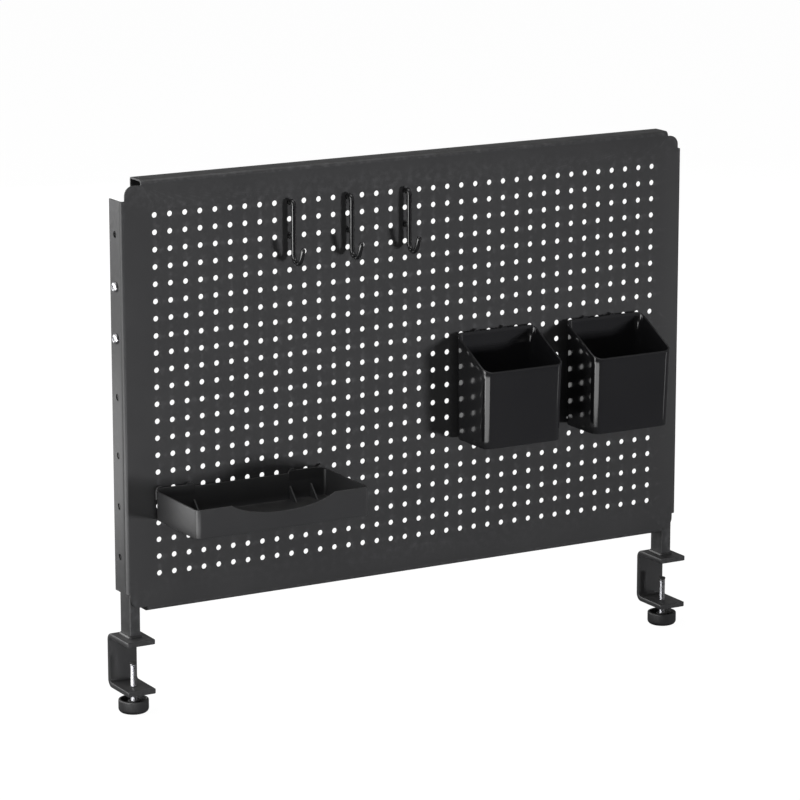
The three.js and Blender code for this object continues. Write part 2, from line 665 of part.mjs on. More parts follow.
// Tray: a shallow box with a dip in its front wall, two raised tabs that carry its pegs,
// and small gussets between the floor and the back wall.
function tray() {
  const back = -HANG_GAP;
  const front = back - TRAY_DEPTH;
  const box = (inset, z0, z1) => {
    const x0 = TRAY_MIDDLE - TRAY_WIDTH / 2 + inset;
    const x1 = TRAY_MIDDLE + TRAY_WIDTH / 2 - inset;
    const outline = roundedBox(x0, x1, front + inset, back - inset, TRAY_CORNER - inset);
    return solidOf(prism(outline, 'z', z0, z1));
  };
  const shell = box(0, TRAY_BOTTOM, TRAY_TOP);
  const hollow = box(TRAY_WALL, TRAY_BOTTOM + TRAY_WALL, TRAY_TOP + 1);

  const half = TRAY_DIP_WIDTH / 2;
  const foot = TRAY_TOP - (TRAY_DIP_DEPTH * 4) / 3;
  const dip = new THREE.CubicBezierCurve(
    new THREE.Vector2(TRAY_MIDDLE - half, TRAY_TOP),
    new THREE.Vector2(TRAY_MIDDLE - half * 0.57, foot),
    new THREE.Vector2(TRAY_MIDDLE + half * 0.57, foot),
    new THREE.Vector2(TRAY_MIDDLE + half, TRAY_TOP),
  );
  const curve = dip.getPoints(16).map((point) => [point.x, point.y]);
  const above = [[TRAY_MIDDLE + half, TRAY_TOP + 2], [TRAY_MIDDLE - half, TRAY_TOP + 2]];
  const dipCut = solidOf(prism([...curve, ...above], 'y', front - 1, front + TRAY_WALL + 1));

  const tabs = TRAY_TAB_CENTRES.map((x) => {
    const [x0, x1] = [x - TRAY_TAB_WIDTH / 2, x + TRAY_TAB_WIDTH / 2];
    const outline = roundedBox(x0, x1, TRAY_TOP - 8, TRAY_TOP + TRAY_TAB_RISE, 2, 3);
    return solidOf(prism(outline, 'y', back - TRAY_WALL, back));
  });
  const wallFace = back - TRAY_WALL / 2;
  const floorFace = TRAY_BOTTOM + TRAY_WALL / 2;
  const triangle = [
    [wallFace, floorFace],
    [wallFace - GUSSET_SIZE, floorFace],
    [wallFace, floorFace + GUSSET_SIZE],
  ];
  const gussets = GUSSET_PLACES.map((place) => {
    const x = TRAY_MIDDLE + place;
    return solidOf(prism(triangle, 'x', x - GUSSET_THICKNESS / 2, x + GUSSET_THICKNESS / 2));
  });
  const lugs = TRAY_COLUMNS.map((column) => lugSolid(column, TRAY_ROW, TRAY_WALL, TRAY_TOP - 8));
  const pegs = TRAY_COLUMNS.map((column) => pegSolid(column, TRAY_ROW, back - TRAY_WALL / 2));
  const body = cut(shell, [hollow, dipCut]);
  return geometryOf(joined([body, ...tabs, ...gussets, ...lugs, ...pegs]));
}

addMesh('tray', tray(), MATTE_PLASTIC);

export default group;
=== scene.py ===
"""A desk-clamp pegboard with wire hooks, pen cups and a tray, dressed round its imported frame."""

import math

import bmesh
import bpy
from mathutils import Matrix, Vector


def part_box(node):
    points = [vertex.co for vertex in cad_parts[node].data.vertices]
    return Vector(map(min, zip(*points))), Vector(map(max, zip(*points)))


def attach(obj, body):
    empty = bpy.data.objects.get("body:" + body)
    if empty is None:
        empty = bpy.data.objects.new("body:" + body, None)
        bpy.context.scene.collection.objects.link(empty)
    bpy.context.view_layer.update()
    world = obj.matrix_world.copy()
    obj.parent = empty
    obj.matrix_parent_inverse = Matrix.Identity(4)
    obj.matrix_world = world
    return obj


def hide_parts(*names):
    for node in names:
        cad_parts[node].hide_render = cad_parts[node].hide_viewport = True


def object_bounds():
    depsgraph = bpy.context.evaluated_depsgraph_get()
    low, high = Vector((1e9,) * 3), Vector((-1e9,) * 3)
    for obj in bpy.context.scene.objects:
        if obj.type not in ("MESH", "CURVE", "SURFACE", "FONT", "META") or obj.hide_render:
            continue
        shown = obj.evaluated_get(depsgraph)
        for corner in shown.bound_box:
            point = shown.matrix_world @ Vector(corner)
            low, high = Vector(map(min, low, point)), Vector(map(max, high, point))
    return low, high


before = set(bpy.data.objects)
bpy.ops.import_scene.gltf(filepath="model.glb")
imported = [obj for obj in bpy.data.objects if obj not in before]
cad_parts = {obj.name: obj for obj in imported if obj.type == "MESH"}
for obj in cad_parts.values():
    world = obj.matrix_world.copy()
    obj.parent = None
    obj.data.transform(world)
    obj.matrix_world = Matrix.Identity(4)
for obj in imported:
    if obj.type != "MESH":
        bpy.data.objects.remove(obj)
cad_low, cad_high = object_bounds()

# ---- Studio ---------------------------------------------------------------------------
# A pale matte floor just under the clamp knobs, in a small product studio with nine lamps. It
# casts no shadow, so that the low key at the front right passes it, and it looks paler to the
# camera than it does in reflections. Some lamps are left out of reflections or of matte light.
FLOOR_SIZE = 40.0
FLOOR_DROP = 0.0004
FLOOR_TO_CAMERA = 0.97
FLOOR_GREY, FLOOR_GREY_IN_REFLECTIONS = 0.08, 0.16
ROOM_GREY = 0.16
SENSOR_WIDTH, LENS = 36.0, 171.3
CAMERA_AZIMUTH, CAMERA_ELEVATION = math.radians(-29.778), math.radians(12.961)
CAMERA_PLACE = Vector((-1.7412, -3.0199, 0.9976))


def put_node(tree, kind, label, **values):
    """A node of that kind, with its input sockets set by name."""
    node = tree.nodes.new(kind)
    node.name = node.label = label
    for socket, value in values.items():
        node.inputs[socket.replace("_", " ")].default_value = value
    return node


def blank_tree(owner):
    owner.use_nodes = True
    owner.node_tree.nodes.clear()
    return owner.node_tree


def wire(tree, *pairs):
    for source, target in pairs:
        tree.links.new(source, target)


def grey(level):
    return (level, level, level, 1)


world = bpy.data.worlds.new("studio_room")
bpy.context.scene.world = world
bpy.context.scene.view_settings.view_transform = "Standard"
room = blank_tree(world)
room_path = put_node(room, "ShaderNodeLightPath", "ray kind")
room_seen = put_node(room, "ShaderNodeBackground", "backdrop", Color=grey(1), Strength=1.0)
room_light = put_node(room, "ShaderNodeBackground", "room light", Color=grey(1), Strength=ROOM_GREY)
room_mix = put_node(room, "ShaderNodeMixShader", "what is seen")
room_out = put_node(room, "ShaderNodeOutputWorld", "world")
wire(room, (room_path.outputs["Is Camera Ray"], room_mix.inputs["Fac"]),
     (room_light.outputs[0], room_mix.inputs[1]), (room_seen.outputs[0], room_mix.inputs[2]),
     (room_mix.outputs[0], room_out.inputs["Surface"]))

floor_material = bpy.data.materials.new("floor_card")
floor_tree = blank_tree(floor_material)
floor_path = put_node(floor_tree, "ShaderNodeLightPath", "ray kind")
floor_card = put_node(floor_tree, "ShaderNodeBsdfDiffuse", "card", Color=grey(FLOOR_GREY))
floor_glow = put_node(floor_tree, "ShaderNodeEmission", "lift", Color=grey(1), Strength=FLOOR_TO_CAMERA)
floor_sum = put_node(floor_tree, "ShaderNodeAddShader", "lifted card")
floor_dim = put_node(floor_tree, "ShaderNodeBsdfDiffuse", "card in reflections",
                     Color=grey(FLOOR_GREY_IN_REFLECTIONS))
floor_mix = put_node(floor_tree, "ShaderNodeMixShader", "what is seen")
floor_out = put_node(floor_tree, "ShaderNodeOutputMaterial", "material")
wire(floor_tree, (floor_card.outputs[0], floor_sum.inputs[0]), (floor_glow.outputs[0], floor_sum.inputs[1]),
     (floor_path.outputs["Is Camera Ray"], floor_mix.inputs["Fac"]),
     (floor_dim.outputs[0], floor_mix.inputs[1]), (floor_sum.outputs[0], floor_mix.inputs[2]),
     (floor_mix.outputs[0], floor_out.inputs["Surface"]))

floor_mesh = bpy.data.meshes.new("floor")
reach = FLOOR_SIZE / 2
floor_mesh.from_pydata(
    [(-reach, -reach, 0), (reach, -reach, 0), (reach, reach, 0), (-reach, reach, 0)], [], [(0, 1, 2, 3)])
floor_mesh.materials.append(floor_material)
floor = bpy.data.objects.new("floor", floor_mesh)
floor.location.z = cad_low.z - FLOOR_DROP
floor.visible_shadow = False
bpy.context.scene.collection.objects.link(floor)

KEY_WAY = Vector((0.50, -0.85, -0.15))
KEY_DISTANCE = 3.4
KEY_SPREAD = math.radians(40)
key_place = (cad_low + cad_high) / 2 + KEY_DISTANCE * KEY_WAY.normalized()

# Each lamp's place, the point it faces, its width and height, its power, and what it is hidden from
LAMPS = (
    ("key", key_place, (-0.22, 0, 0.40), 0.5, 0.5, 8.6, "reflections"),
    ("back_fill", (0.8, 2.6, 0.5), (0, 0, 0.2), 1.2, 0.8, 16, "reflections"),
    ("back_glow", (-0.45, 0.62, 0.03), (0.05, -0.05, 0.12), 1.1, 0.18, 1.0, "matte light"),
    ("upper_left_fill", (-0.30, -0.60, 0.76), (-0.08, 0, 0.36), 0.35, 0.35, 0.8, "reflections"),
    ("corner_strip", (-0.50, -0.37, 0.02), (0.06, 0.02, 0.06), 0.92, 0.17, 2.0, "matte light"),
    ("bend_strip", (-0.74, -0.16, 0.16), (-0.30, 0, 0.22), 0.24, 0.42, 1.1, "matte light"),
    ("right_strip", (0.86, -0.56, 0.10), (0, 0, 0.25), 0.10, 0.34, 0.25, "matte light"),
    ("left_panel", (-1.25, 0.60, 0.62), (0, 0.30, 0.42), 2.8, 1.1, 30, "nothing"),
    ("floor_light", (0, 0.3, 3.2), (0, 0.3, 0), 3.0, 3.0, 30, "nothing"),
)
for name, place, target, width, height, power, hidden_from in LAMPS:
    light = bpy.data.lights.new(name, "AREA")
    light.shape, light.size, light.size_y, light.energy = "RECTANGLE", width, height, power
    if name == "key":
        light.spread = KEY_SPREAD
    lamp = bpy.data.objects.new(name, light)
    lamp.location = place
    lamp.rotation_euler = (Vector(target) - Vector(place)).to_track_quat("-Z", "Y").to_euler()
    lamp.visible_camera = False
    lamp.visible_glossy = hidden_from != "reflections"
    lamp.visible_diffuse = hidden_from != "matte light"
    bpy.context.scene.collection.objects.link(lamp)

camera = bpy.data.objects.new("camera", bpy.data.cameras.new("camera"))
camera.data.sensor_width, camera.data.lens = SENSOR_WIDTH, LENS
camera.data.clip_end = 100
camera.location = CAMERA_PLACE
camera.rotation_euler = (math.pi / 2 - CAMERA_ELEVATION, 0, CAMERA_AZIMUTH)
bpy.context.scene.collection.objects.link(camera)
bpy.context.scene.camera = camera

# ---- Shared finish effects ------------------------------------------------------------
# Three effects that several finishes share: a fine grain with a broad mottle, wear on sharp
# edges, and dust that settles on what faces up.
PEEL_SCALE, PEEL_SHARE = 420.0, 0.8
MOTTLE_SCALE = 14.0
MOTTLE_RANGE = (0.3, 0.7)
SPECK_START, SPECK_END, SPECK_REACH = 0.86, 0.9, 0.25
SHARPNESS_RANGE, SCUFF_RANGE = (0.52, 0.60), (0.45, 0.7)
UPWARD_RANGE, DRIFT_RANGE = (0.35, 1.0), (0.3, 0.75)
DUST_COLOUR = (0.32, 0.31, 0.29)
CLEAR_COAT_ROUGHNESS = 0.08
GRAIN_DEPTH = 0.0002


def effect_group(name, inputs, outputs):
    """A shader node group with float inputs (name, start value) and float outputs."""
    group = bpy.data.node_groups.new(name, "ShaderNodeTree")
    for label, value in inputs:
        socket = group.interface.new_socket(label, in_out="INPUT", socket_type="NodeSocketFloat")
        socket.default_value = value
    for label in outputs:
        group.interface.new_socket(label, in_out="OUTPUT", socket_type="NodeSocketFloat")
    return group, group.nodes.new("NodeGroupInput"), group.nodes.new("NodeGroupOutput")


def noise_field(tree, label, scale, detail, place):
    node = put_node(tree, "ShaderNodeTexNoise", label, Detail=detail, Roughness=0.55)
    wire(tree, (place, node.inputs["Vector"]))
    if isinstance(scale, (int, float)):
        node.inputs["Scale"].default_value = scale
    else:
        wire(tree, (scale, node.inputs["Scale"]))
    return node.outputs["Fac"]


def stretched(tree, label, value, low, high, to_low=0.0, to_high=1.0):
    """Maps a value from low..high to a new range, held at both ends."""
    node = put_node(tree, "ShaderNodeMapRange", label)
    wire(tree, (value, node.inputs["Value"]))
    ends = {"From Min": low, "From Max": high, "To Min": to_low, "To Max": to_high}
    for socket, end in ends.items():
        if isinstance(end, (int, float)):
            node.inputs[socket].default_value = end
        else:
            wire(tree, (end, node.inputs[socket]))
    return node.outputs["Result"]


def combined(tree, operation, a, b):
    """Two values, each a number or a socket, put through one sum."""
    node = tree.nodes.new("ShaderNodeMath")
    node.operation = operation
    for socket, value in ((node.inputs[0], a), (node.inputs[1], b)):
        if isinstance(value, (int, float)):
            socket.default_value = value
        else:
            wire(tree, (value, socket))
    return node.outputs[0]


grain_group, grain_in, grain_out = effect_group(
    "fine_grain", [("Scale", 900.0), ("Speckle", 0.5)], ["Height", "Specks", "Mottle"])
grain_place = grain_group.nodes.new("ShaderNodeTexCoord").outputs["Object"]
grain_fine = noise_field(grain_group, "fine", grain_in.outputs["Scale"], 3.0, grain_place)
grain_peel = noise_field(grain_group, "orange peel", PEEL_SCALE, 1.0, grain_place)
grain_broad = noise_field(grain_group, "mottle", MOTTLE_SCALE, 4.0, grain_place)
grain_height = combined(
    grain_group, "ADD", grain_fine, combined(grain_group, "MULTIPLY", grain_peel, PEEL_SHARE))
speck_edge = combined(grain_group, "SUBTRACT", SPECK_START,
                      combined(grain_group, "MULTIPLY", grain_in.outputs["Speckle"], SPECK_REACH))
grain_specks = stretched(grain_group, "specks", grain_fine, speck_edge, SPECK_END)
wire(grain_group, (grain_height, grain_out.inputs["Height"]), (grain_specks, grain_out.inputs["Specks"]),
     (grain_broad, grain_out.inputs["Mottle"]))

wear_group, wear_in, wear_out = effect_group("edge_wear", [("Amount", 0.3), ("Scale", 160.0)], ["Mask"])
wear_place = wear_group.nodes.new("ShaderNodeTexCoord").outputs["Object"]
wear_shape = wear_group.nodes.new("ShaderNodeNewGeometry").outputs["Pointiness"]
wear_edge = stretched(wear_group, "sharp edges", wear_shape, *SHARPNESS_RANGE)
wear_scuffs = noise_field(wear_group, "scuffs", wear_in.outputs["Scale"], 5.0, wear_place)
wear_patch = stretched(wear_group, "patches", wear_scuffs, *SCUFF_RANGE)
wear_mask = combined(wear_group, "MULTIPLY", combined(wear_group, "MULTIPLY", wear_edge, wear_patch),
                   wear_in.outputs["Amount"])
wire(wear_group, (wear_mask, wear_out.inputs["Mask"]))

dust_group, dust_in, dust_out = effect_group("settled_dust", [("Amount", 0.2), ("Scale", 60.0)], ["Mask"])
dust_place = dust_group.nodes.new("ShaderNodeTexCoord").outputs["Object"]
dust_facing = put_node(dust_group, "ShaderNodeSeparateXYZ", "which way it faces")
wire(dust_group, (dust_group.nodes.new("ShaderNodeNewGeometry").outputs["Normal"], dust_facing.inputs[0]))
dust_up = stretched(dust_group, "faces up", dust_facing.outputs["Z"], *UPWARD_RANGE)
dust_drifts = noise_field(dust_group, "drifts", dust_in.outputs["Scale"], 6.0, dust_place)
dust_patch = stretched(dust_group, "patches", dust_drifts, *DRIFT_RANGE)
dust_mask = combined(dust_group, "MULTIPLY", combined(dust_group, "MULTIPLY", dust_up, dust_patch),
                   dust_in.outputs["Amount"])
wire(dust_group, (dust_mask, dust_out.inputs["Mask"]))


def place_group(tree, group, label, **values):
    node = tree.nodes.new("ShaderNodeGroup")
    node.node_tree, node.name, node.label = group, label, label
    for socket, value in values.items():
        node.inputs[socket].default_value = value
    return node


def tinted(tree, label, mask, under, over):
    """Mixes two colours, or a colour and a socket, by a mask."""
    node = tree.nodes.new("ShaderNodeMix")
    node.data_type, node.name, node.label = "RGBA", label, label
    wire(tree, (mask, node.inputs["Factor"]))
    for socket, colour in ((node.inputs["A"], under), (node.inputs["B"], over)):
        if isinstance(colour, tuple):
            socket.default_value = (*colour, 1)
        else:
            wire(tree, (colour, socket))
    return node.outputs["Result"]


def coated(name, colour, dark, roughness, spread, bump, grain, speckle, wear, bare, dust, specular=0.5,
           coat=0.0):
    """A coated or moulded finish: mottled colour, grain in its surface, worn edges and a little dust."""
    material = bpy.data.materials.new(name)
    tree = blank_tree(material)
    shader = put_node(tree, "ShaderNodeBsdfPrincipled", "surface")
    shader.inputs["Specular IOR Level"].default_value = specular
    shader.inputs["Coat Weight"].default_value = coat
    shader.inputs["Coat Roughness"].default_value = CLEAR_COAT_ROUGHNESS
    output = put_node(tree, "ShaderNodeOutputMaterial", "material")
    grains = place_group(tree, grain_group, "grain", Scale=grain, Speckle=speckle)
    worn = place_group(tree, wear_group, "wear", Amount=wear)
    dusty = place_group(tree, dust_group, "dust", Amount=dust)
    mottle = grains.outputs["Mottle"]
    mottled = tinted(tree, "mottle", stretched(tree, "spread", mottle, *MOTTLE_RANGE), dark, colour)
    bright = tuple(min(1, c * 3 + 0.02) for c in colour)
    specked = tinted(tree, "specks", grains.outputs["Specks"], mottled, bright)
    rubbed = tinted(tree, "rubbed", worn.outputs["Mask"], specked, bare)
    settled = tinted(tree, "dusted", dusty.outputs["Mask"], rubbed, DUST_COLOUR)
    rough = stretched(tree, "roughness", mottle, *MOTTLE_RANGE, roughness - spread, roughness + spread)
    rougher = combined(tree, "ADD", rough, combined(tree, "MULTIPLY", dusty.outputs["Mask"], 0.3))
    relief = put_node(tree, "ShaderNodeBump", "relief", Strength=bump, Distance=GRAIN_DEPTH)
    wire(tree, (settled, shader.inputs["Base Color"]), (rougher, shader.inputs["Roughness"]),
         (grains.outputs["Height"], relief.inputs["Height"]),
         (relief.outputs["Normal"], shader.inputs["Normal"]), (shader.outputs[0], output.inputs["Surface"]))
    return material


# ---- Pegboard panel -------------------------------------------------------------------
# One sheet of steel, punched with 36 by 22 peg holes and folded back at all four sides, with
# a return lip along the top and bottom. It is powder-coated black after folding, which rounds
# every punched edge a little. The folds stop short of its rounded corners.
MM = 0.001
SHEET = 1.5
BEND = 4.0
CORNER_RADIUS, CORNER_INSET = 9.0, 4.5
SIDE_FOLD_END = 18.0
FOLD_LEFT, FOLD_RIGHT = 21.0, 16.0
LIP, LIP_BEND = 12.0, 2.2
COLUMNS, ROWS = 36, 22
COLUMN_PITCH, ROW_PITCH = 15.2, 15.8
GRID_RISE = 1.0
PEG_HOLE = 5.2
FLANGE_HOLE, FLANGE_HOLE_DEPTH = 6.0, 12.3
FLANGE_HOLE_HEIGHTS = (-149.3, -101.8, -54.3, 0.0, 54.3, 101.8, 149.3)
HOLE_SIDES = 16
CELL_REACH = 6.0
COATED_EDGE = 0.2
MERGE_DISTANCE = 0.0005

powder_coat = coated("powder_coat_black", (0.030, 0.030, 0.031), (0.027, 0.027, 0.028), roughness=0.37,
                     spread=0.03, bump=0.16, grain=1500.0, speckle=0.5, wear=0.12, bare=(0.20, 0.20, 0.21),
                     dust=0.05)


def box_mm(node):
    low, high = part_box(node)
    return low / MM, high / MM


class Shape:
    """Points and faces in millimetres, gathered before they become a piece."""

    def __init__(self):
        self.points, self.faces = [], []

    def add(self, points, faces):
        start = len(self.points)
        self.points += [tuple(p) for p in points]
        self.faces += [tuple(start + i for i in face) for face in faces]

    def strip(self, rows, closed=False):
        """Quads between rows of equally many points. A closed strip joins each row's two ends."""
        width = len(rows[0])
        faces = []
        for r in range(len(rows) - 1):
            for i in range(width if closed else width - 1):
                j = (i + 1) % width
                faces.append((r * width + i, r * width + j, (r + 1) * width + j, (r + 1) * width + i))
        self.add([p for row in rows for p in row], faces)


def piece(name, shape, material, body, nodes, crease=28.0):
    """Turns a shape into an object that rides on a body and stands for CAD nodes."""
    mesh = bpy.data.meshes.new(name)
    mesh.from_pydata([tuple(c * MM for c in p) for p in shape.points], [], shape.faces)
    work = bmesh.new()
    work.from_mesh(mesh)
    bmesh.ops.remove_doubles(work, verts=work.verts, dist=MERGE_DISTANCE * MM)
    bmesh.ops.recalc_face_normals(work, faces=work.faces)
    work.to_mesh(mesh)
    work.free()
    mesh.shade_smooth()
    mesh.set_sharp_from_angle(angle=math.radians(crease))
    mesh.materials.append(material)
    made = bpy.data.objects.new(name, mesh)
    bpy.context.scene.collection.objects.link(made)
    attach(made, body)
    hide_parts(*nodes)
    return made


def arc(cu, cv, radius, start, end, steps):
    angles = [math.radians(start + (end - start) * i / steps) for i in range(steps + 1)]
    return [(cu + radius * math.cos(a), cv + radius * math.sin(a)) for a in angles]


def holed_cell(shape, cu, cv, sides, radius, thickness, put):
    """A rectangle of sheet round one punched hole. sides holds its reach left, right, down and up."""
    left, right, down, up = sides
    turns = [2 * math.pi * i / HOLE_SIDES for i in range(HOLE_SIDES)]
    rim = []
    for a in turns:
        u, v = math.cos(a), math.sin(a)
        longest = max(abs(u), abs(v))
        u, v = u / longest, v / longest
        rim.append((cu + u * (right if u > 0 else left), cv + v * (up if v > 0 else down)))

    def circle(r, depth):
        return [put(cu + r * math.cos(a), cv + r * math.sin(a), depth) for a in turns]

    edge = COATED_EDGE
    shape.strip([
        [put(u, v, 0) for u, v in rim], circle(radius + edge, 0), circle(radius, edge),
        circle(radius, thickness - edge), circle(radius + edge, thickness),
        [put(u, v, thickness) for u, v in rim],
    ], closed=True)


panel_low, panel_high = box_mm("pegboard_panel")
panel_middle = (panel_low + panel_high) / 2
grid_middle = panel_middle.z + GRID_RISE


def column_x(column):
    return panel_middle.x + (column - (COLUMNS - 1) / 2) * COLUMN_PITCH


def row_z(row):
    return grid_middle + ((ROWS - 1) / 2 - row) * ROW_PITCH


panel = Shape()
half_pitch = (COLUMN_PITCH / 2, COLUMN_PITCH / 2, ROW_PITCH / 2, ROW_PITCH / 2)
for column in range(COLUMNS):
    for row in range(ROWS):
        holed_cell(panel, column_x(column), row_z(row), half_pitch, PEG_HOLE / 2, SHEET,
                   lambda u, v, depth: (u, panel_low.y + depth, v))

# The two side flanges, each a row of cells round its seven holes with plain runs between
flange_front, flange_back = panel_low.y + BEND, panel_high.y
hole_y = panel_low.y + FLANGE_HOLE_DEPTH
side_start, side_end = panel_low.z + SIDE_FOLD_END, panel_high.z - SIDE_FOLD_END
flange_sides = (hole_y - flange_front, flange_back - hole_y, CELL_REACH, CELL_REACH)
inner_step = math.tan(math.pi / 8)
flange_rows = [flange_front, hole_y - flange_sides[0] * inner_step, hole_y,
               hole_y + flange_sides[1] * inner_step, flange_back]
hole_heights = [grid_middle + height for height in FLANGE_HOLE_HEIGHTS]
run_ends = [side_start] + [z + s * CELL_REACH for z in hole_heights for s in (-1, 1)] + [side_end]
stations = sorted({side_start, side_end} | {
    z + s * CELL_REACH for z in hole_heights for s in (-1, -inner_step, 0, inner_step, 1)})
for side, face_x in ((-1, panel_low.x), (1, panel_high.x)):
    for z in hole_heights:
        holed_cell(panel, hole_y, z, flange_sides, FLANGE_HOLE / 2, SHEET,
                   lambda u, v, depth: (face_x - side * depth, u, v))
    for start, end in zip(run_ends[0::2], run_ends[1::2]):
        for depth in (0, SHEET):
            x = face_x - side * depth
            panel.strip([[(x, y, start) for y in flange_rows], [(x, y, end) for y in flange_rows]])
    # the bend, the flange's back edge and its two ends
    centre = (face_x - side * BEND, panel_low.y + BEND)
    turn = 0 if side > 0 else -180
    outer, inner = (arc(*centre, BEND - skin, -90, turn, 8) for skin in (0, SHEET))
    for bent in (outer, inner):
        panel.strip([[(x, y, z) for z in stations] for x, y in bent])
    panel.strip([[(face_x, flange_back, z) for z in stations],
                 [(face_x - side * SHEET, flange_back, z) for z in stations]])
    outer += [(face_x, y) for y in flange_rows[1:]]
    inner += [(face_x - side * SHEET, y) for y in flange_rows[1:]]
    for z in (side_start, side_end):
        panel.strip([[(x, y, z) for x, y in outer], [(x, y, z) for x, y in inner]])

# The top and bottom flanges, with their return lips
fold_start, fold_end = panel_low.x + FOLD_LEFT, panel_high.x - FOLD_RIGHT
for side, face_z in ((-1, panel_low.z), (1, panel_high.z)):
    centre = (face_z - side * BEND, panel_low.y + BEND)
    turn = 0 if side > 0 else -180
    back = panel_high.y
    lip_turn = 90 if side > 0 else -270
    lip_centre = (face_z - side * LIP_BEND, back - LIP_BEND)
    outer, inner = (
        arc(*centre, BEND - skin, -90, turn, 8) + arc(*lip_centre, LIP_BEND - skin, turn, lip_turn, 6)
        + [(face_z - side * LIP, back - skin)] for skin in (0, SHEET))
    for folded in (outer, inner):
        panel.strip([[(fold_start, y, z), (fold_end, y, z)] for z, y in folded])
    panel.strip([[(fold_start, y, z), (fold_end, y, z)] for z, y in (outer[-1], inner[-1])])
    for x in (fold_start, fold_end):
        panel.strip([[(x, y, z) for z, y in outer], [(x, y, z) for z, y in inner]])


def mirror_x(x):
    return 2 * panel_middle.x - x


def mirror_z(z):
    return 2 * panel_middle.z - z


# The border between the grid and the folds, front and back, and its cut edge at each corner
corner_x, corner_z = panel_high.x - CORNER_INSET, panel_high.z - CORNER_INSET
corner = arc(corner_x - CORNER_RADIUS, corner_z - CORNER_RADIUS, CORNER_RADIUS, 0, 90, 10)
bend_line_x, bend_line_z = panel_high.x - BEND, panel_high.z - BEND
upper = [(bend_line_x, z) for z in stations] + [(corner_x, side_end)] + corner + [(fold_end, corner_z)]
upper += [(fold_end, bend_line_z), (fold_start, bend_line_z), (fold_start, corner_z)]
upper += [(mirror_x(x), z) for x, z in reversed(corner)]
upper += [(mirror_x(corner_x), side_end)] + [(mirror_x(bend_line_x), z) for z in reversed(stations)]
lower = [(mirror_x(corner_x), side_start)]
lower += [(mirror_x(x), mirror_z(z)) for x, z in corner]
lower += [(fold_start, mirror_z(corner_z)), (fold_start, mirror_z(bend_line_z))]
lower += [(fold_end, mirror_z(bend_line_z)), (fold_end, mirror_z(corner_z))]
lower += [(x, mirror_z(z)) for x, z in reversed(corner)] + [(corner_x, side_start)]
outline = upper + lower
grid_low = (column_x(0) - COLUMN_PITCH / 2, row_z(ROWS - 1) - ROW_PITCH / 2)
grid_high = (column_x(COLUMNS - 1) + COLUMN_PITCH / 2, row_z(0) + ROW_PITCH / 2)


def border_faces(depth):
    """Fills the sheet between the grid of cells and the outline, at one depth."""
    work = bmesh.new()
    steps = [-1, -inner_step, 0, inner_step]
    bottom = [(column_x(c) + s * COLUMN_PITCH / 2, grid_low[1]) for c in range(COLUMNS) for s in steps]
    right = [(grid_high[0], row_z(r) + s * ROW_PITCH / 2) for r in reversed(range(ROWS)) for s in steps]
    top = [(column_x(c) - s * COLUMN_PITCH / 2, grid_high[1])
           for c in reversed(range(COLUMNS)) for s in steps]
    left = [(grid_low[0], row_z(r) - s * ROW_PITCH / 2) for r in range(ROWS) for s in steps]
    for loop in (outline, bottom + right + top + left):
        verts = [work.verts.new((x, panel_low.y + depth, z)) for x, z in loop]
        for a, b in zip(verts, verts[1:] + verts[:1]):
            work.edges.new((a, b))
    bmesh.ops.triangle_fill(work, edges=work.edges[:], use_beauty=True, use_dissolve=False)
    work.verts.index_update()
    made = [tuple(v.co) for v in work.verts], [tuple(v.index for v in f.verts) for f in work.faces]
    work.free()
    return made


for depth in (0, SHEET):
    panel.add(*border_faces(depth))
fold_lines = {(x, z) for x in (bend_line_x, mirror_x(bend_line_x)) for z in stations}
fold_lines |= {(x, z) for x in (fold_start, fold_end) for z in (bend_line_z, mirror_z(bend_line_z))}
for a, b in zip(outline, outline[1:] + outline[:1]):
    if not (a in fold_lines and b in fold_lines):
        panel.strip([[(x, panel_low.y + depth, z) for x, z in (a, b)] for depth in (0, SHEET)])
sheet = piece("panel_sheet", panel, powder_coat, "stand", ["pegboard_panel"])

# The punched walls of the holes take a duller coat, with its colour darkened far below the sheet's as
# painted shade inside the holes
hole_walls_painted_shade = coated("hole_walls_painted_shade_coat", (0.007, 0.007, 0.007), (0.006, 0.006, 0.006), roughness=0.75,
                   spread=0.05, bump=0.3, grain=1500.0, speckle=0.1, wear=0.0, bare=(0.02, 0.02, 0.02),
                   dust=0.0, specular=0.15)
sheet.data.materials.append(hole_walls_painted_shade)
# Faces of the hole walls get the dark painted-shade coat
for face in sheet.data.polygons:
    x, y, z = face.center / MM
    in_grid = grid_low[0] < x < grid_high[0] and grid_low[1] < z < grid_high[1]
    if in_grid and abs(face.normal.y) < 0.4 and y < panel_low.y + SHEET:
        face.material_index = 1

# ---- Posts and post caps --------------------------------------------------------------
# Two lengths of rectangular steel tube, powder-coated, with a fillet weld round each foot. The
# side flanges and the rivet nuts cover the holes for the nuts, so those aren't cut here. A
# moulded plug closes the top of each.
POST_WALL = 1.5
POST_CORNER = 1.5
POST_EDGE = 0.25
WELD_LEG = 1.9
WELD_PROFILE = ((1.0, 0.02), (0.86, 0.42), (0.5, 0.86), (0.05, 1.0))
WELD_RIPPLE, RIPPLE_STEP = 0.12, 2.4
LID_THICKNESS = 1.9

cap_plastic = coated("cap_plastic_black", (0.020, 0.020, 0.021), (0.016, 0.016, 0.017), roughness=0.6,
                     spread=0.05, bump=0.2, grain=700.0, speckle=0.2, wear=0.05, bare=(0.06, 0.06, 0.06),
                     dust=0.1)


def rounded_box(x0, x1, y0, y1, radius, steps=5):
    corners = ((x1 - radius, y0 + radius), (x1 - radius, y1 - radius), (x0 + radius, y1 - radius),
               (x0 + radius, y0 + radius))
    return [point for k, place in enumerate(corners)
            for point in arc(*place, radius, 90 * k - 90, 90 * k, steps)]


def at_height(outline, z):
    return [(x, y, z) for x, y in outline]


def capped(shape, outline):
    """A flat face over a closed ring."""
    shape.add(outline, [tuple(range(len(outline)))])


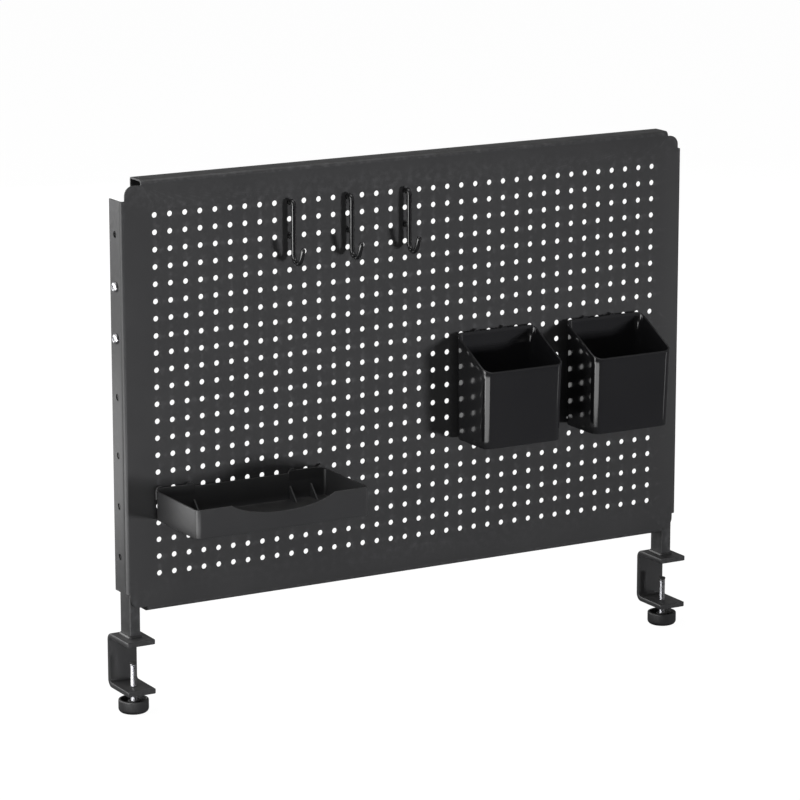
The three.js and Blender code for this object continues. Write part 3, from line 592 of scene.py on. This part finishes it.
for side in ("left", "right"):
    low, high = box_mm(f"{side}_post")
    clamp_top = box_mm(f"{side}_clamp_frame")[1].z
    post = Shape()
    outer = rounded_box(low.x, high.x, low.y, high.y, POST_CORNER)
    wall, edge = POST_WALL, POST_EDGE
    inner = rounded_box(low.x + wall, high.x - wall, low.y + wall, high.y - wall, wall / 2)
    rim = rounded_box(low.x + edge, high.x - edge, low.y + edge, high.y - edge, POST_CORNER - edge)
    foot = clamp_top + 0.05
    post.strip([at_height(outer, foot), at_height(outer, high.z - edge), at_height(rim, high.z),
                at_height(inner, high.z), at_height(inner, foot), at_height(outer, foot)], closed=True)
    # the weld bead, rippled where each pool of metal froze
    beads = []
    for leg, height in WELD_PROFILE:
        ring = []
        for i, (x, y) in enumerate(rounded_box(low.x, high.x, low.y, high.y, POST_CORNER, 6)):
            ripple = 1 + WELD_RIPPLE * math.sin(RIPPLE_STEP * i)
            out = WELD_LEG * leg * ripple
            way = Vector((x - (low.x + high.x) / 2, y - (low.y + high.y) / 2, 0))
            way = Vector((way.x / (high.x - low.x), way.y / (high.y - low.y), 0)).normalized()
            ring.append((x + way.x * out, y + way.y * out, clamp_top + 0.02 + WELD_LEG * height))
        beads.append(ring)
    post.strip(beads, closed=True)
    piece(f"{side}_post_tube", post, powder_coat, "stand", [f"{side}_post"])

    low, high = box_mm(f"{side}_post_cap")
    cap = Shape()
    lid_low = high.z - LID_THICKNESS
    rings = [(POST_WALL + 0.4, low.z), (POST_WALL + 0.3, lid_low), (0.15, lid_low), (0.0, lid_low + 0.3),
             (0.0, high.z - 0.7), (0.25, high.z - 0.2), (0.7, high.z)]
    ring_points = [
        at_height(rounded_box(low.x + i, high.x - i, low.y + i, high.y - i, max(0.4, POST_CORNER - i)), z)
        for i, z in rings]
    cap.strip(ring_points, closed=True)
    capped(cap, ring_points[0])
    capped(cap, ring_points[-1])
    piece(f"{side}_tube_plug", cap, cap_plastic, "stand", [f"{side}_post_cap"])

# ---- Clamp frames ---------------------------------------------------------------------
# Two C-shaped frames, each of one flat steel bar bent hot round two corners, with its long
# edges dressed to a small bevel. A tapped hole goes through the lower jaw for the screw.
BAR_THICKNESS = 5.0
BAR_INNER_BEND = 2.5
BAR_BEVEL = 0.9
BAR_END = 0.5
SCREW_DEPTH = 8.0
SCREW_HOLE = 6.5
DRILL_LENGTH = 12.0
BAR_CREASE = 24


def bar_path(low, high):
    """The C of the bar's outer and inner faces, as pairs of (y, z) points from end to end."""
    outer_bend = BAR_INNER_BEND + BAR_THICKNESS
    middle_y, top_z, bottom_z = high.y - outer_bend, high.z - outer_bend, low.z + outer_bend
    far = [(low.y, low.z), (low.y + BAR_END, low.z)]
    far += arc(middle_y, bottom_z, outer_bend, -90, 0, 12) + arc(middle_y, top_z, outer_bend, 0, 90, 12)
    far += [(low.y + BAR_END, high.z), (low.y, high.z)]
    lower, upper = low.z + BAR_THICKNESS, high.z - BAR_THICKNESS
    near = [(low.y, lower), (low.y + BAR_END, lower)]
    near += arc(middle_y, bottom_z, BAR_INNER_BEND, -90, 0, 12)
    near += arc(middle_y, top_z, BAR_INNER_BEND, 0, 90, 12)
    near += [(low.y + BAR_END, upper), (low.y, upper)]
    return list(zip(far, near))


for side in ("left", "right"):
    low, high = box_mm(f"{side}_clamp_frame")
    bar = Shape()
    pairs = bar_path(low, high)
    b = BAR_BEVEL
    rows = []
    for k, ((far_y, far_z), (near_y, near_z)) in enumerate(pairs):
        end = BAR_END if k in (0, len(pairs) - 1) else 0
        out = Vector((far_y - near_y, far_z - near_z)).normalized()
        skin = ((low.x + end, b), (low.x + end + b * 0.3, b * 0.3), (low.x + end + b, 0),
                (high.x - end - b, 0), (high.x - end - b * 0.3, b * 0.3), (high.x - end, b))
        section = [(x, far_y - out.x * (depth + end), far_z - out.y * (depth + end)) for x, depth in skin]
        section += [(x, near_y + out.x * (depth + end), near_z + out.y * (depth + end))
                    for x, depth in reversed(skin)]
        rows.append(section)
    bar.strip(rows, closed=True)
    capped(bar, rows[0])
    capped(bar, rows[-1])
    clamp = piece(f"{side}_clamp_bar", bar, powder_coat, "stand", [f"{side}_clamp_frame"],
                  crease=BAR_CREASE)

    drill = bmesh.new()
    hole_place = Vector(((low.x + high.x) / 2, SCREW_DEPTH, low.z + BAR_THICKNESS / 2)) * MM
    hole_radius = SCREW_HOLE / 2 * MM
    bmesh.ops.create_cone(drill, cap_ends=True, segments=32, radius1=hole_radius, radius2=hole_radius,
                          depth=DRILL_LENGTH * MM, matrix=Matrix.Translation(hole_place))
    drill_mesh = bpy.data.meshes.new(f"{side}_drill")
    drill.to_mesh(drill_mesh)
    drill.free()
    drill_tool = bpy.data.objects.new(f"{side}_drill", drill_mesh)
    bpy.context.scene.collection.objects.link(drill_tool)
    bore = clamp.modifiers.new("tapped hole", "BOOLEAN")
    bore.operation, bore.solver, bore.object = "DIFFERENCE", "EXACT", drill_tool
    bored = bpy.data.meshes.new_from_object(clamp.evaluated_get(bpy.context.evaluated_depsgraph_get()))
    clamp.modifiers.remove(bore)
    clamp.data = bored
    bored.set_sharp_from_angle(angle=math.radians(BAR_CREASE))
    bpy.data.objects.remove(drill_tool)
    bpy.data.meshes.remove(drill_mesh)

# ---- Clamp screws ---------------------------------------------------------------------
# Two M6 screws of zinc-plated steel with a rolled right-hand thread of 1 mm pitch. Each
# turns in its clamp's lower jaw and ends in a small spigot inside the tip pad.
THREAD_PITCH = 1.0
THREAD_DEPTH = 0.5
THREAD_SIDES = 28
THREAD_ROWS = 6
THREAD_MARGIN, THREAD_FADE = 0.6, 1.2
SPIGOT_RADIUS, SPIGOT_LENGTH, SPIGOT_EDGE = 1.7, 1.1, 0.15
METAL_DUST_COLOUR = (0.3, 0.29, 0.27)
METAL_GRAIN_DEPTH = 0.0001


def metal(name, colour, dark, roughness, spread, bump, grain, dust):
    """Bright plated steel: a faint mottle in colour and roughness and a little dust."""
    material = bpy.data.materials.new(name)
    tree = blank_tree(material)
    shader = put_node(tree, "ShaderNodeBsdfPrincipled", "surface", Metallic=1.0)
    output = put_node(tree, "ShaderNodeOutputMaterial", "material")
    grains = place_group(tree, grain_group, "grain", Scale=grain, Speckle=0.2)
    dusty = place_group(tree, dust_group, "dust", Amount=dust)
    mottle = grains.outputs["Mottle"]
    mottled = tinted(tree, "mottle", stretched(tree, "spread", mottle, *MOTTLE_RANGE), dark, colour)
    settled = tinted(tree, "dusted", dusty.outputs["Mask"], mottled, METAL_DUST_COLOUR)
    rough = stretched(tree, "roughness", mottle, *MOTTLE_RANGE, roughness - spread, roughness + spread)
    relief = put_node(tree, "ShaderNodeBump", "relief", Strength=bump, Distance=METAL_GRAIN_DEPTH)
    wire(tree, (settled, shader.inputs["Base Color"]), (rough, shader.inputs["Roughness"]),
         (grains.outputs["Height"], relief.inputs["Height"]),
         (relief.outputs["Normal"], shader.inputs["Normal"]), (shader.outputs[0], output.inputs["Surface"]))
    return material


def level_ring(x, y, r, z, sides):
    """A level ring of points round an upright axis."""
    return [(x + r * math.cos(2 * math.pi * i / sides), y + r * math.sin(2 * math.pi * i / sides), z)
            for i in range(sides)]


zinc_steel = metal("zinc_plated_steel", (0.64, 0.64, 0.66), (0.52, 0.52, 0.54), roughness=0.24, spread=0.05,
                   bump=0.1, grain=800.0, dust=0.05)

for side in ("left", "right"):
    low, high = box_mm(f"{side}_clamp_screw")
    x, y, radius = (low.x + high.x) / 2, (low.y + high.y) / 2, (high.x - low.x) / 2
    shoulder = high.z - SPIGOT_LENGTH
    start, end = low.z + THREAD_MARGIN, shoulder - THREAD_MARGIN
    screw = Shape()
    rows = []
    count = int((end - start) / THREAD_PITCH * THREAD_ROWS)
    for k in range(count + 1):
        ring = []
        for i in range(THREAD_SIDES):
            phase = i / THREAD_SIDES
            z = start + (end - start) * k / count
            wave = abs(((z - start) / THREAD_PITCH - phase) % 1 - 0.5) * 2
            fade = min(1, (z - start) / THREAD_FADE, (end - z) / THREAD_FADE)
            r = radius - THREAD_DEPTH * fade * min(1, max(0, (1 - wave) * 1.3 - 0.12))
            a = 2 * math.pi * phase
            ring.append((x + r * math.cos(a), y + r * math.sin(a), z))
        rows.append(ring)
    ends = [(radius - 0.6, low.z), (radius - 0.5, shoulder), (SPIGOT_RADIUS, shoulder),
            (SPIGOT_RADIUS, high.z - SPIGOT_EDGE), (SPIGOT_RADIUS - SPIGOT_EDGE, high.z)]
    end_rings = [level_ring(x, y, r, z, THREAD_SIDES) for r, z in ends]
    rows = end_rings[:1] + rows + end_rings[1:]
    screw.strip(rows, closed=True)
    capped(screw, rows[0])
    capped(screw, rows[-1])
    piece(f"{side}_threaded_bar", screw, zinc_steel, f"{side}_spindle", [f"{side}_clamp_screw"],
          crease=40)

# ---- Screw tips and clamp knobs -------------------------------------------------------
# A small pad of hard rubber turns freely on the top of each screw and bears on the desk. A
# moulded cup-shaped knob with a thick hub grips the bottom, with a rounded lower edge.
PAD_BORE, PAD_BORE_DEPTH, PAD_ROUND = 2.0, 1.1, 0.6
PAD_SIDES, KNOB_SIDES = 40, 80
KNOB_ROUND, KNOB_RIM_ROUND = 4.0, 1.1
KNOB_WELL_DEPTH, HUB_RADIUS, HUB_BORE = 5.5, 5.5, 3.2

tip_rubber = coated("tip_rubber_black", (0.016, 0.016, 0.016), (0.012, 0.012, 0.012), roughness=0.75,
                    spread=0.06, bump=0.3, grain=500.0, speckle=0.1, wear=0.0, bare=(0.03, 0.03, 0.03),
                    dust=0.12)
knob_plastic = coated("knob_plastic_black", (0.020, 0.020, 0.021), (0.016, 0.016, 0.017), roughness=0.42,
                      spread=0.05, bump=0.25, grain=900.0, speckle=0.2, wear=0.1, bare=(0.06, 0.06, 0.06),
                      dust=0.1)


def turned(shape, profile, x, y, sides):
    """A turned skin about an upright axis, from (radius, height) points. Ends at radius 0 close."""
    shape.strip([level_ring(x, y, r, z, sides) for r, z in profile], closed=True)


for side in ("left", "right"):
    low, high = box_mm(f"{side}_screw_tip")
    x, y, radius = (low.x + high.x) / 2, (low.y + high.y) / 2, (high.x - low.x) / 2
    pad = Shape()
    profile = [(0, low.z + PAD_BORE_DEPTH), (PAD_BORE, low.z + PAD_BORE_DEPTH), (PAD_BORE, low.z + 0.1),
               (PAD_BORE + 0.1, low.z), (radius - 0.15, low.z), (radius, low.z + 0.2)]
    profile += arc(radius - PAD_ROUND, high.z - PAD_ROUND, PAD_ROUND, 0, 90, 4) + [(0, high.z)]
    turned(pad, profile, x, y, PAD_SIDES)
    piece(f"{side}_tip_pad", pad, tip_rubber, f"{side}_tip", [f"{side}_screw_tip"])

    low, high = box_mm(f"{side}_clamp_knob")
    x, y, radius = (low.x + high.x) / 2, (low.y + high.y) / 2, (high.x - low.x) / 2
    knob = Shape()
    well_z = high.z - KNOB_WELL_DEPTH
    profile = [(0, low.z), (radius - KNOB_ROUND, low.z)]
    profile += arc(radius - KNOB_ROUND, low.z + KNOB_ROUND, KNOB_ROUND, -90, 0, 10)[1:]
    profile += [(radius, high.z - 1.2)]
    profile += arc(radius - KNOB_RIM_ROUND, high.z - KNOB_RIM_ROUND, KNOB_RIM_ROUND, 20, 90, 4)
    profile += [(radius - 2.0, high.z), (radius - 2.4, high.z - 0.4), (radius - 2.9, well_z + 0.8),
                (radius - 3.6, well_z), (HUB_RADIUS + 0.7, well_z), (HUB_RADIUS, well_z + 0.7),
                (HUB_RADIUS, high.z - 2.0), (HUB_RADIUS - 0.5, high.z - 1.5), (HUB_BORE + 0.3, high.z - 1.5),
                (HUB_BORE, high.z - 1.8), (HUB_BORE, low.z + 3), (0, low.z + 3)]
    turned(knob, profile, x, y, KNOB_SIDES)
    piece(f"{side}_turned_knob", knob, knob_plastic, f"{side}_spindle",
          [f"{side}_clamp_knob"])

# ---- Panel screws and rivet nuts ------------------------------------------------------
# Four M5 button-head screws with a hexagon socket go through the side flanges. Each is held
# by a steel rivet nut, set in the post's outer wall with its flange outside.
SKIN_SIDES = 48
M5_RADIUS, M5_ROOT, M5_PITCH = 2.5, 2.12, 0.8
HEAD_HEIGHT = 2.8
HEAD_DOME = ((0.975, 1.0), (0.9, 1.6), (0.78, 2.15), (0.62, 2.55), (0.48, 2.74), (0.42, HEAD_HEIGHT))
SOCKET_SIZE, SOCKET_BOTTOM = 1.5, 1.1
NUT_FLANGE, NUT_BORE, NUT_BODY, NUT_CRIMP, NUT_LENGTH = 1.6, 2.8, 3.35, 3.9, 8.0

for side, out in (("left", -1), ("right", 1)):
    for level in ("upper", "lower"):
        low, high = box_mm(f"{side}_{level}_panel_screw")
        y, z, radius = (low.y + high.y) / 2, (low.z + high.z) / 2, (high.z - low.z) / 2
        face = high.x if out > 0 else low.x
        seat = face - out * HEAD_HEIGHT

        def across(r, reach):
            """A ring of points round the screw's axis, that far out from its seat."""
            return [(seat + out * reach, y + r * math.cos(2 * math.pi * i / SKIN_SIDES),
                     z + r * math.sin(2 * math.pi * i / SKIN_SIDES)) for i in range(SKIN_SIDES)]

        def hexagon(r, reach):
            """A hexagon of as many points, so that it joins the round skin."""
            points = []
            for i in range(SKIN_SIDES):
                a = 2 * math.pi * i / SKIN_SIDES
                local = (a % (math.pi / 3)) - math.pi / 6
                points.append((seat + out * reach, y + r / math.cos(local) * math.cos(a),
                               z + r / math.cos(local) * math.sin(a)))
            return points

        button = Shape()
        rows = [across(1.9, -10.5), across(M5_RADIUS, -10.0)]
        thread_z = -9.9
        while thread_z < -1.0:
            rows += [across(M5_RADIUS, thread_z), across(M5_ROOT, thread_z + M5_PITCH / 2)]
            thread_z += M5_PITCH
        rows += [across(M5_RADIUS, -0.6), across(M5_RADIUS, 0), across(radius - 0.2, 0)]
        rows += [across(radius, 0.2), across(radius, 0.6)] + [across(r * radius, h) for r, h in HEAD_DOME]
        rows += [hexagon(1.66, HEAD_HEIGHT), hexagon(SOCKET_SIZE, 2.62), hexagon(SOCKET_SIZE, SOCKET_BOTTOM)]
        button.strip(rows, closed=True)
        capped(button, rows[0])
        capped(button, rows[-1])
        piece(f"{side}_{level}_button_screw", button, zinc_steel, "stand",
              [f"{side}_{level}_panel_screw"], crease=32)

        low, high = box_mm(f"{side}_{level}_rivet_nut")
        flange = (high.z - low.z) / 2
        seat = (high.x if out > 0 else low.x) - out * NUT_FLANGE
        nut = Shape()
        rows = [across(r, h) for r, h in (
            (NUT_BORE, NUT_FLANGE), (flange - 0.4, NUT_FLANGE), (flange, 1.2), (flange, 0.1),
            (flange - 0.1, 0), (NUT_BODY, 0), (NUT_BODY, -1.6), (NUT_CRIMP, -2.3), (NUT_CRIMP, -3.0),
            (NUT_BODY, -3.6), (NUT_BODY, -NUT_LENGTH), (NUT_BORE, -NUT_LENGTH), (NUT_BORE, NUT_FLANGE))]
        nut.strip(rows, closed=True)
        piece(f"{side}_{level}_crimped_nut", nut, zinc_steel, "stand",
              [f"{side}_{level}_rivet_nut"])

# ---- Hooks ----------------------------------------------------------------------------
# Three J hooks of steel wire bent in one plane, with a short peg welded on for the lower
# hole. They are dip-coated in glossy black, which rounds their cut ends.
HOOK_COLUMNS = (9, 13, 17)
HOOK_ROWS = (0, 2)
WIRE_RADIUS = 2.35
WIRE_SIDES = 20
WIRE_BEND, BEND_STEPS = 4.0, 10
DOME_ANGLES = (0.3, 0.6, 0.9, 1.2, 1.5)
STANDOFF = 7.5
PEG_SLOPE = math.radians(15)
PEG_REACH = 8.5
PEG_WAY = Vector((0, math.cos(PEG_SLOPE), -math.sin(PEG_SLOPE)))
J_RADIUS, J_TURN, J_DROP, J_TIP = 7.3, math.radians(158), 47.5, 9.5
J_STEPS = 28

wire_coat = coated("dip_coat_black", (0.006, 0.006, 0.0065), (0.005, 0.005, 0.0055), roughness=0.13,
                   spread=0.03, bump=0.06, grain=300.0, speckle=0.0, wear=0.1, bare=(0.08, 0.08, 0.08),
                   dust=0.03, coat=0.8)


def seat_of(column, row):
    return Vector((column_x(column), panel_low.y + SHEET / 2, row_z(row)))


def swept(shape, path, radius):
    """A round wire along a path in an upright plane across the panel, with domed ends."""
    ways = [(b - a).normalized() for a, b in zip(path, path[1:])]
    ways = [ways[0]] + [(a + b).normalized() for a, b in zip(ways, ways[1:])] + [ways[-1]]
    stops = [(path[0] + ways[0] * radius * (1 - math.sin(a)), ways[0], radius * math.cos(a))
             for a in reversed(DOME_ANGLES)]
    body = [(p, w, radius) for p, w in zip(path, ways)]
    body[0] = (path[0] + ways[0] * radius, ways[0], radius)
    tail = [(path[-1] + ways[-1] * radius * math.sin(a), ways[-1], radius * math.cos(a))
            for a in DOME_ANGLES]
    rows = []
    for place, way, r in stops + body + tail:
        across_way = Vector((1, 0, 0))
        up = across_way.cross(way).normalized()
        rows.append([place + r * (math.cos(t) * across_way + math.sin(t) * up)
                     for t in [2 * math.pi * i / WIRE_SIDES for i in range(WIRE_SIDES)]])
    shape.strip(rows, closed=True)
    capped(shape, rows[0])
    capped(shape, rows[-1])


def bend(path, corner, after, radius, steps):
    """Adds a round bend to a path that heads for a corner and leaves it towards a point."""
    back = (path[-1] - corner).normalized()
    onward = (after - corner).normalized()
    half = back.angle(onward) / 2
    start = corner + back * radius / math.tan(half)
    centre = corner + (back + onward).normalized() * radius / math.sin(half)
    spoke = start - centre
    axis = back.cross(onward).normalized()
    for i in range(steps + 1):
        path.append(centre + Matrix.Rotation((2 * half - math.pi) * i / steps, 3, axis) @ spoke)


def peg(shape, column, row, start_y):
    seat = seat_of(column, row)
    start = seat + PEG_WAY * ((start_y - seat.y) / math.cos(PEG_SLOPE))
    swept(shape, [start, seat + PEG_WAY * (PEG_REACH - WIRE_RADIUS)], WIRE_RADIUS)


for number, column in enumerate(HOOK_COLUMNS, 1):
    hook = Shape()
    seat = seat_of(column, HOOK_ROWS[0])
    wire_y = panel_low.y - STANDOFF
    top = seat + PEG_WAY * ((wire_y - seat.y) / math.cos(PEG_SLOPE))
    foot = Vector((seat.x, wire_y, seat.z - J_DROP))
    path = [seat + PEG_WAY * (PEG_REACH - WIRE_RADIUS * 0.1)]
    bend(path, top, foot, WIRE_BEND, BEND_STEPS)
    centre = foot + Vector((0, -J_RADIUS, 0))
    for i in range(J_STEPS + 1):
        a = J_TURN * i / J_STEPS
        path.append(centre + Vector((0, J_RADIUS * math.cos(a), -J_RADIUS * math.sin(a))))
    tip_way = Vector((0, -math.sin(J_TURN), -math.cos(J_TURN)))
    path.append(path[-1] + tip_way * J_TIP)
    swept(hook, path, WIRE_RADIUS)
    peg(hook, column, HOOK_ROWS[1], wire_y)
    piece(f"wire_hook_{number}", hook, wire_coat, f"hook_{number}", [f"hook_{number}"],
          crease=50)

# ---- Pen cups -------------------------------------------------------------------------
# Two boxes of glossy black moulded plastic that narrow a little towards the floor, with a
# mouth that slopes down to the front. Two lugs with moulded pegs at the back hang each one.
CUP_COLUMNS = {"pen_cup_left": (22, 24), "pen_cup_right": (30, 32)}
CUP_ROW = 9
CUP_CORNER, CUP_WALL = 9.0, 2.0
CUP_BOTTOM, CUP_BACK_TOP, CUP_FRONT_TOP = 153.0, 255.0, 225.0
CUP_SIDE_DRAFT, CUP_FRONT_DRAFT = 1.3, 4.0
LUG_WIDTH, LUG_RISE = 8.5, 3.4
CUP_CORNER_STEPS = 12
BACK_FACE = -1.5
# How far in and up a foot's edge is rounded, and how far in and down a rim's
FOOT_ROUND = ((1.4, 0), (0.7, 0.15), (0.2, 0.6), (0, 1.3))
RIM_ROUND = ((0, 0.7), (0.12, 0.3), (0.4, 0.08), (0.75, 0))

cup_gloss = coated("cup_plastic_gloss", (0.012, 0.012, 0.013), (0.010, 0.010, 0.011), roughness=0.11,
                   spread=0.02, bump=0.03, grain=120.0, speckle=0.0, wear=0.04, bare=(0.05, 0.05, 0.05),
                   dust=0.03)


def plate(shape, outline, near, far, edge, put):
    """A flat plate with softened edges. put turns its (u, v, depth) into a place."""
    count = len(outline)
    inset = []
    for i, (u, v) in enumerate(outline):
        before, after = Vector(outline[i - 1]), Vector(outline[(i + 1) % count])
        here = Vector((u, v))
        a, b = (here - before).normalized(), (after - here).normalized()
        normal = Vector((-(a.y + b.y), a.x + b.x)).normalized()
        inset.append((u + normal.x * edge, v + normal.y * edge))
    way = 1 if far > near else -1
    rows = [[put(u, v, near) for u, v in inset], [put(u, v, near + way * edge) for u, v in outline],
            [put(u, v, far - way * edge) for u, v in outline], [put(u, v, far) for u, v in inset]]
    shape.strip(rows, closed=True)
    capped(shape, rows[0])
    capped(shape, rows[-1])


def lug(shape, column, row, front, back, foot_z):
    x, top = column_x(column), row_z(row) + LUG_RISE
    half = LUG_WIDTH / 2
    outline = [(x - half, foot_z), (x + half, foot_z)] + arc(x, top - half, half, 0, 180, 14)
    plate(shape, outline, front, back, 0.3, lambda u, v, depth: (u, depth, v))


for name, columns in CUP_COLUMNS.items():
    low, high = box_mm(name)
    cup = Shape()
    x0, x1, front, back = low.x, high.x, low.y, BACK_FACE
    slope = (CUP_BACK_TOP - CUP_FRONT_TOP) / (back - front)

    def floor_ring(inset, z, radius):
        """One level ring of the tapered wall at a height."""
        draft = 1 - (z - CUP_BOTTOM) / (CUP_BACK_TOP - CUP_BOTTOM)
        side_in, front_in = inset + CUP_SIDE_DRAFT * draft, inset + CUP_FRONT_DRAFT * draft
        return at_height(rounded_box(x0 + side_in, x1 - side_in, front + front_in, back - inset, radius,
                                     CUP_CORNER_STEPS), z)

    def ring(inset, level, drop=0.0):
        """One ring of the wall. level runs from 0 at the foot to 1 at the sloping mouth."""
        points = []
        for i in range(4 * (CUP_CORNER_STEPS + 1)):
            z = CUP_BOTTOM + (CUP_BACK_TOP - CUP_BOTTOM) * level
            # the height sets the draft, and the draft sets where the sloping mouth is met
            for _ in range(3):
                x, y = floor_ring(inset, z, CUP_CORNER - inset)[i][:2]
                mouth = CUP_BACK_TOP - slope * max(0.0, back - CUP_WALL - y)
                z = CUP_BOTTOM + (mouth - CUP_BOTTOM) * level
            points.append((x, y, z - drop))
        return points

    def foot_ring(inset, rise):
        return floor_ring(inset, CUP_BOTTOM + rise, max(1, CUP_CORNER - inset))

    rows = [foot_ring(inset, rise) for inset, rise in FOOT_ROUND]
    rows += [ring(0, 0.1 + 0.1 * k) for k in range(9)]
    rows += [ring(inset, 1, drop) for inset, drop in RIM_ROUND]
    rows += [ring(CUP_WALL - inset, 1, drop) for inset, drop in reversed(RIM_ROUND)]
    rows += [ring(CUP_WALL, 0.9 - 0.1 * k) for k in range(9)]
    rows += [foot_ring(CUP_WALL, 4.0), foot_ring(CUP_WALL + 0.6, 2.6), foot_ring(CUP_WALL + 2.0, 2.0)]
    cup.strip(rows, closed=True)
    capped(cup, rows[0])
    capped(cup, rows[-1])
    for column in columns:
        lug(cup, column, CUP_ROW, back - CUP_WALL + 0.1, back + 0.15, CUP_BACK_TOP - 12)
        peg(cup, column, CUP_ROW, back - CUP_WALL / 2)
    piece(f"{name}_moulding", cup, cup_gloss, name, [name], crease=34)

# ---- Tray -----------------------------------------------------------------------------
# A shallow box of satin black moulded plastic with a dip in its front wall. Two raised tabs
# carry the lugs and pegs at the back, and four small gussets brace the back wall.
TRAY_COLUMNS = (0, 2, 9, 11)
TRAY_ROW = 16
TRAY_CORNER, TRAY_WALL = 4.8, 2.0
TRAY_BOTTOM, TRAY_TOP = 114.5, 141.8
DIP_WIDTH, DIP_DEPTH, DIP_STEPS = 105.0, 11.0, 30
DIP_HANDLES = (-0.5, -0.285, 0.285, 0.5)
TAB_WIDTH, TAB_RISE, TAB_CENTRES = 39.0, 2.3, (-249.7, -114.7)
GUSSET_PLACES, GUSSET_SIZE, GUSSET_THICKNESS = (-71.7, -49.7, 49.7, 71.7), 15.0, 1.6

tray_satin = coated("tray_plastic_satin", (0.026, 0.026, 0.027), (0.022, 0.022, 0.023), roughness=0.40,
                    spread=0.04, bump=0.25, grain=1100.0, speckle=0.3, wear=0.08, bare=(0.08, 0.08, 0.08),
                    dust=0.08)

low, high = box_mm("tray")
x0, x1, front, back = low.x, high.x, low.y, BACK_FACE
tray_middle = (x0 + x1) / 2
dip_points = []
for k in range(DIP_STEPS + 1):
    t = k / DIP_STEPS
    weights = ((1 - t) ** 3, 3 * t * (1 - t) ** 2, 3 * t * t * (1 - t), t ** 3)
    dip_points.append((tray_middle + DIP_WIDTH * sum(w * h for w, h in zip(weights, DIP_HANDLES)),
                       DIP_DEPTH * 4 / 3 * (weights[1] + weights[2])))


def tray_ring(inset, z, drop=None):
    """One ring of the tray's wall. With a drop, it follows the dip that far below the rim."""
    left, right, near, far = x0 + inset, x1 - inset, front + inset, back - inset
    radius = max(1, TRAY_CORNER - inset)
    ring = [(x, near, TRAY_TOP - sag - drop if drop is not None else z) for x, sag in dip_points]
    corners = rounded_box(left, right, near, far, radius, 8)
    return ring + [(x, y, TRAY_TOP - drop if drop is not None else z) for x, y in corners]


tray = Shape()
bottom = TRAY_BOTTOM
rows = [tray_ring(inset, bottom + rise) for inset, rise in FOOT_ROUND] + [tray_ring(0, bottom + 8)]
rows += [tray_ring(inset, None, drop) for inset, drop in RIM_ROUND]
rows += [tray_ring(TRAY_WALL - inset, None, drop) for inset, drop in reversed(RIM_ROUND)]
rows += [tray_ring(TRAY_WALL, bottom + 8), tray_ring(TRAY_WALL, bottom + 3.2),
         tray_ring(TRAY_WALL + 0.4, bottom + 2.4), tray_ring(TRAY_WALL + 1.2, bottom + 2.0)]
tray.strip(rows, closed=True)
capped(tray, rows[0])
capped(tray, rows[-1])
for x in TAB_CENTRES:
    outline = rounded_box(x - TAB_WIDTH / 2, x + TAB_WIDTH / 2, TRAY_TOP - 8, TRAY_TOP + TAB_RISE, 2.0, 6)
    plate(tray, outline, back - TRAY_WALL - 0.05, back + 0.1, 0.35, lambda u, v, depth: (u, depth, v))
wall_y, floor_z = back - TRAY_WALL / 2, TRAY_BOTTOM + TRAY_WALL / 2
triangle = [(wall_y, floor_z), (wall_y, floor_z + GUSSET_SIZE), (wall_y - GUSSET_SIZE, floor_z)]
for offset in GUSSET_PLACES:
    x = tray_middle + offset
    plate(tray, triangle, x - GUSSET_THICKNESS / 2, x + GUSSET_THICKNESS / 2, 0.25,
          lambda u, v, depth: (depth, u, v))
for column in TRAY_COLUMNS:
    lug(tray, column, TRAY_ROW, back - TRAY_WALL + 0.1, back + 0.2, TRAY_TOP - 8)
    peg(tray, column, TRAY_ROW, back - TRAY_WALL / 2)
piece("tray_moulding", tray, tray_satin, "tray", ["tray"], crease=34)
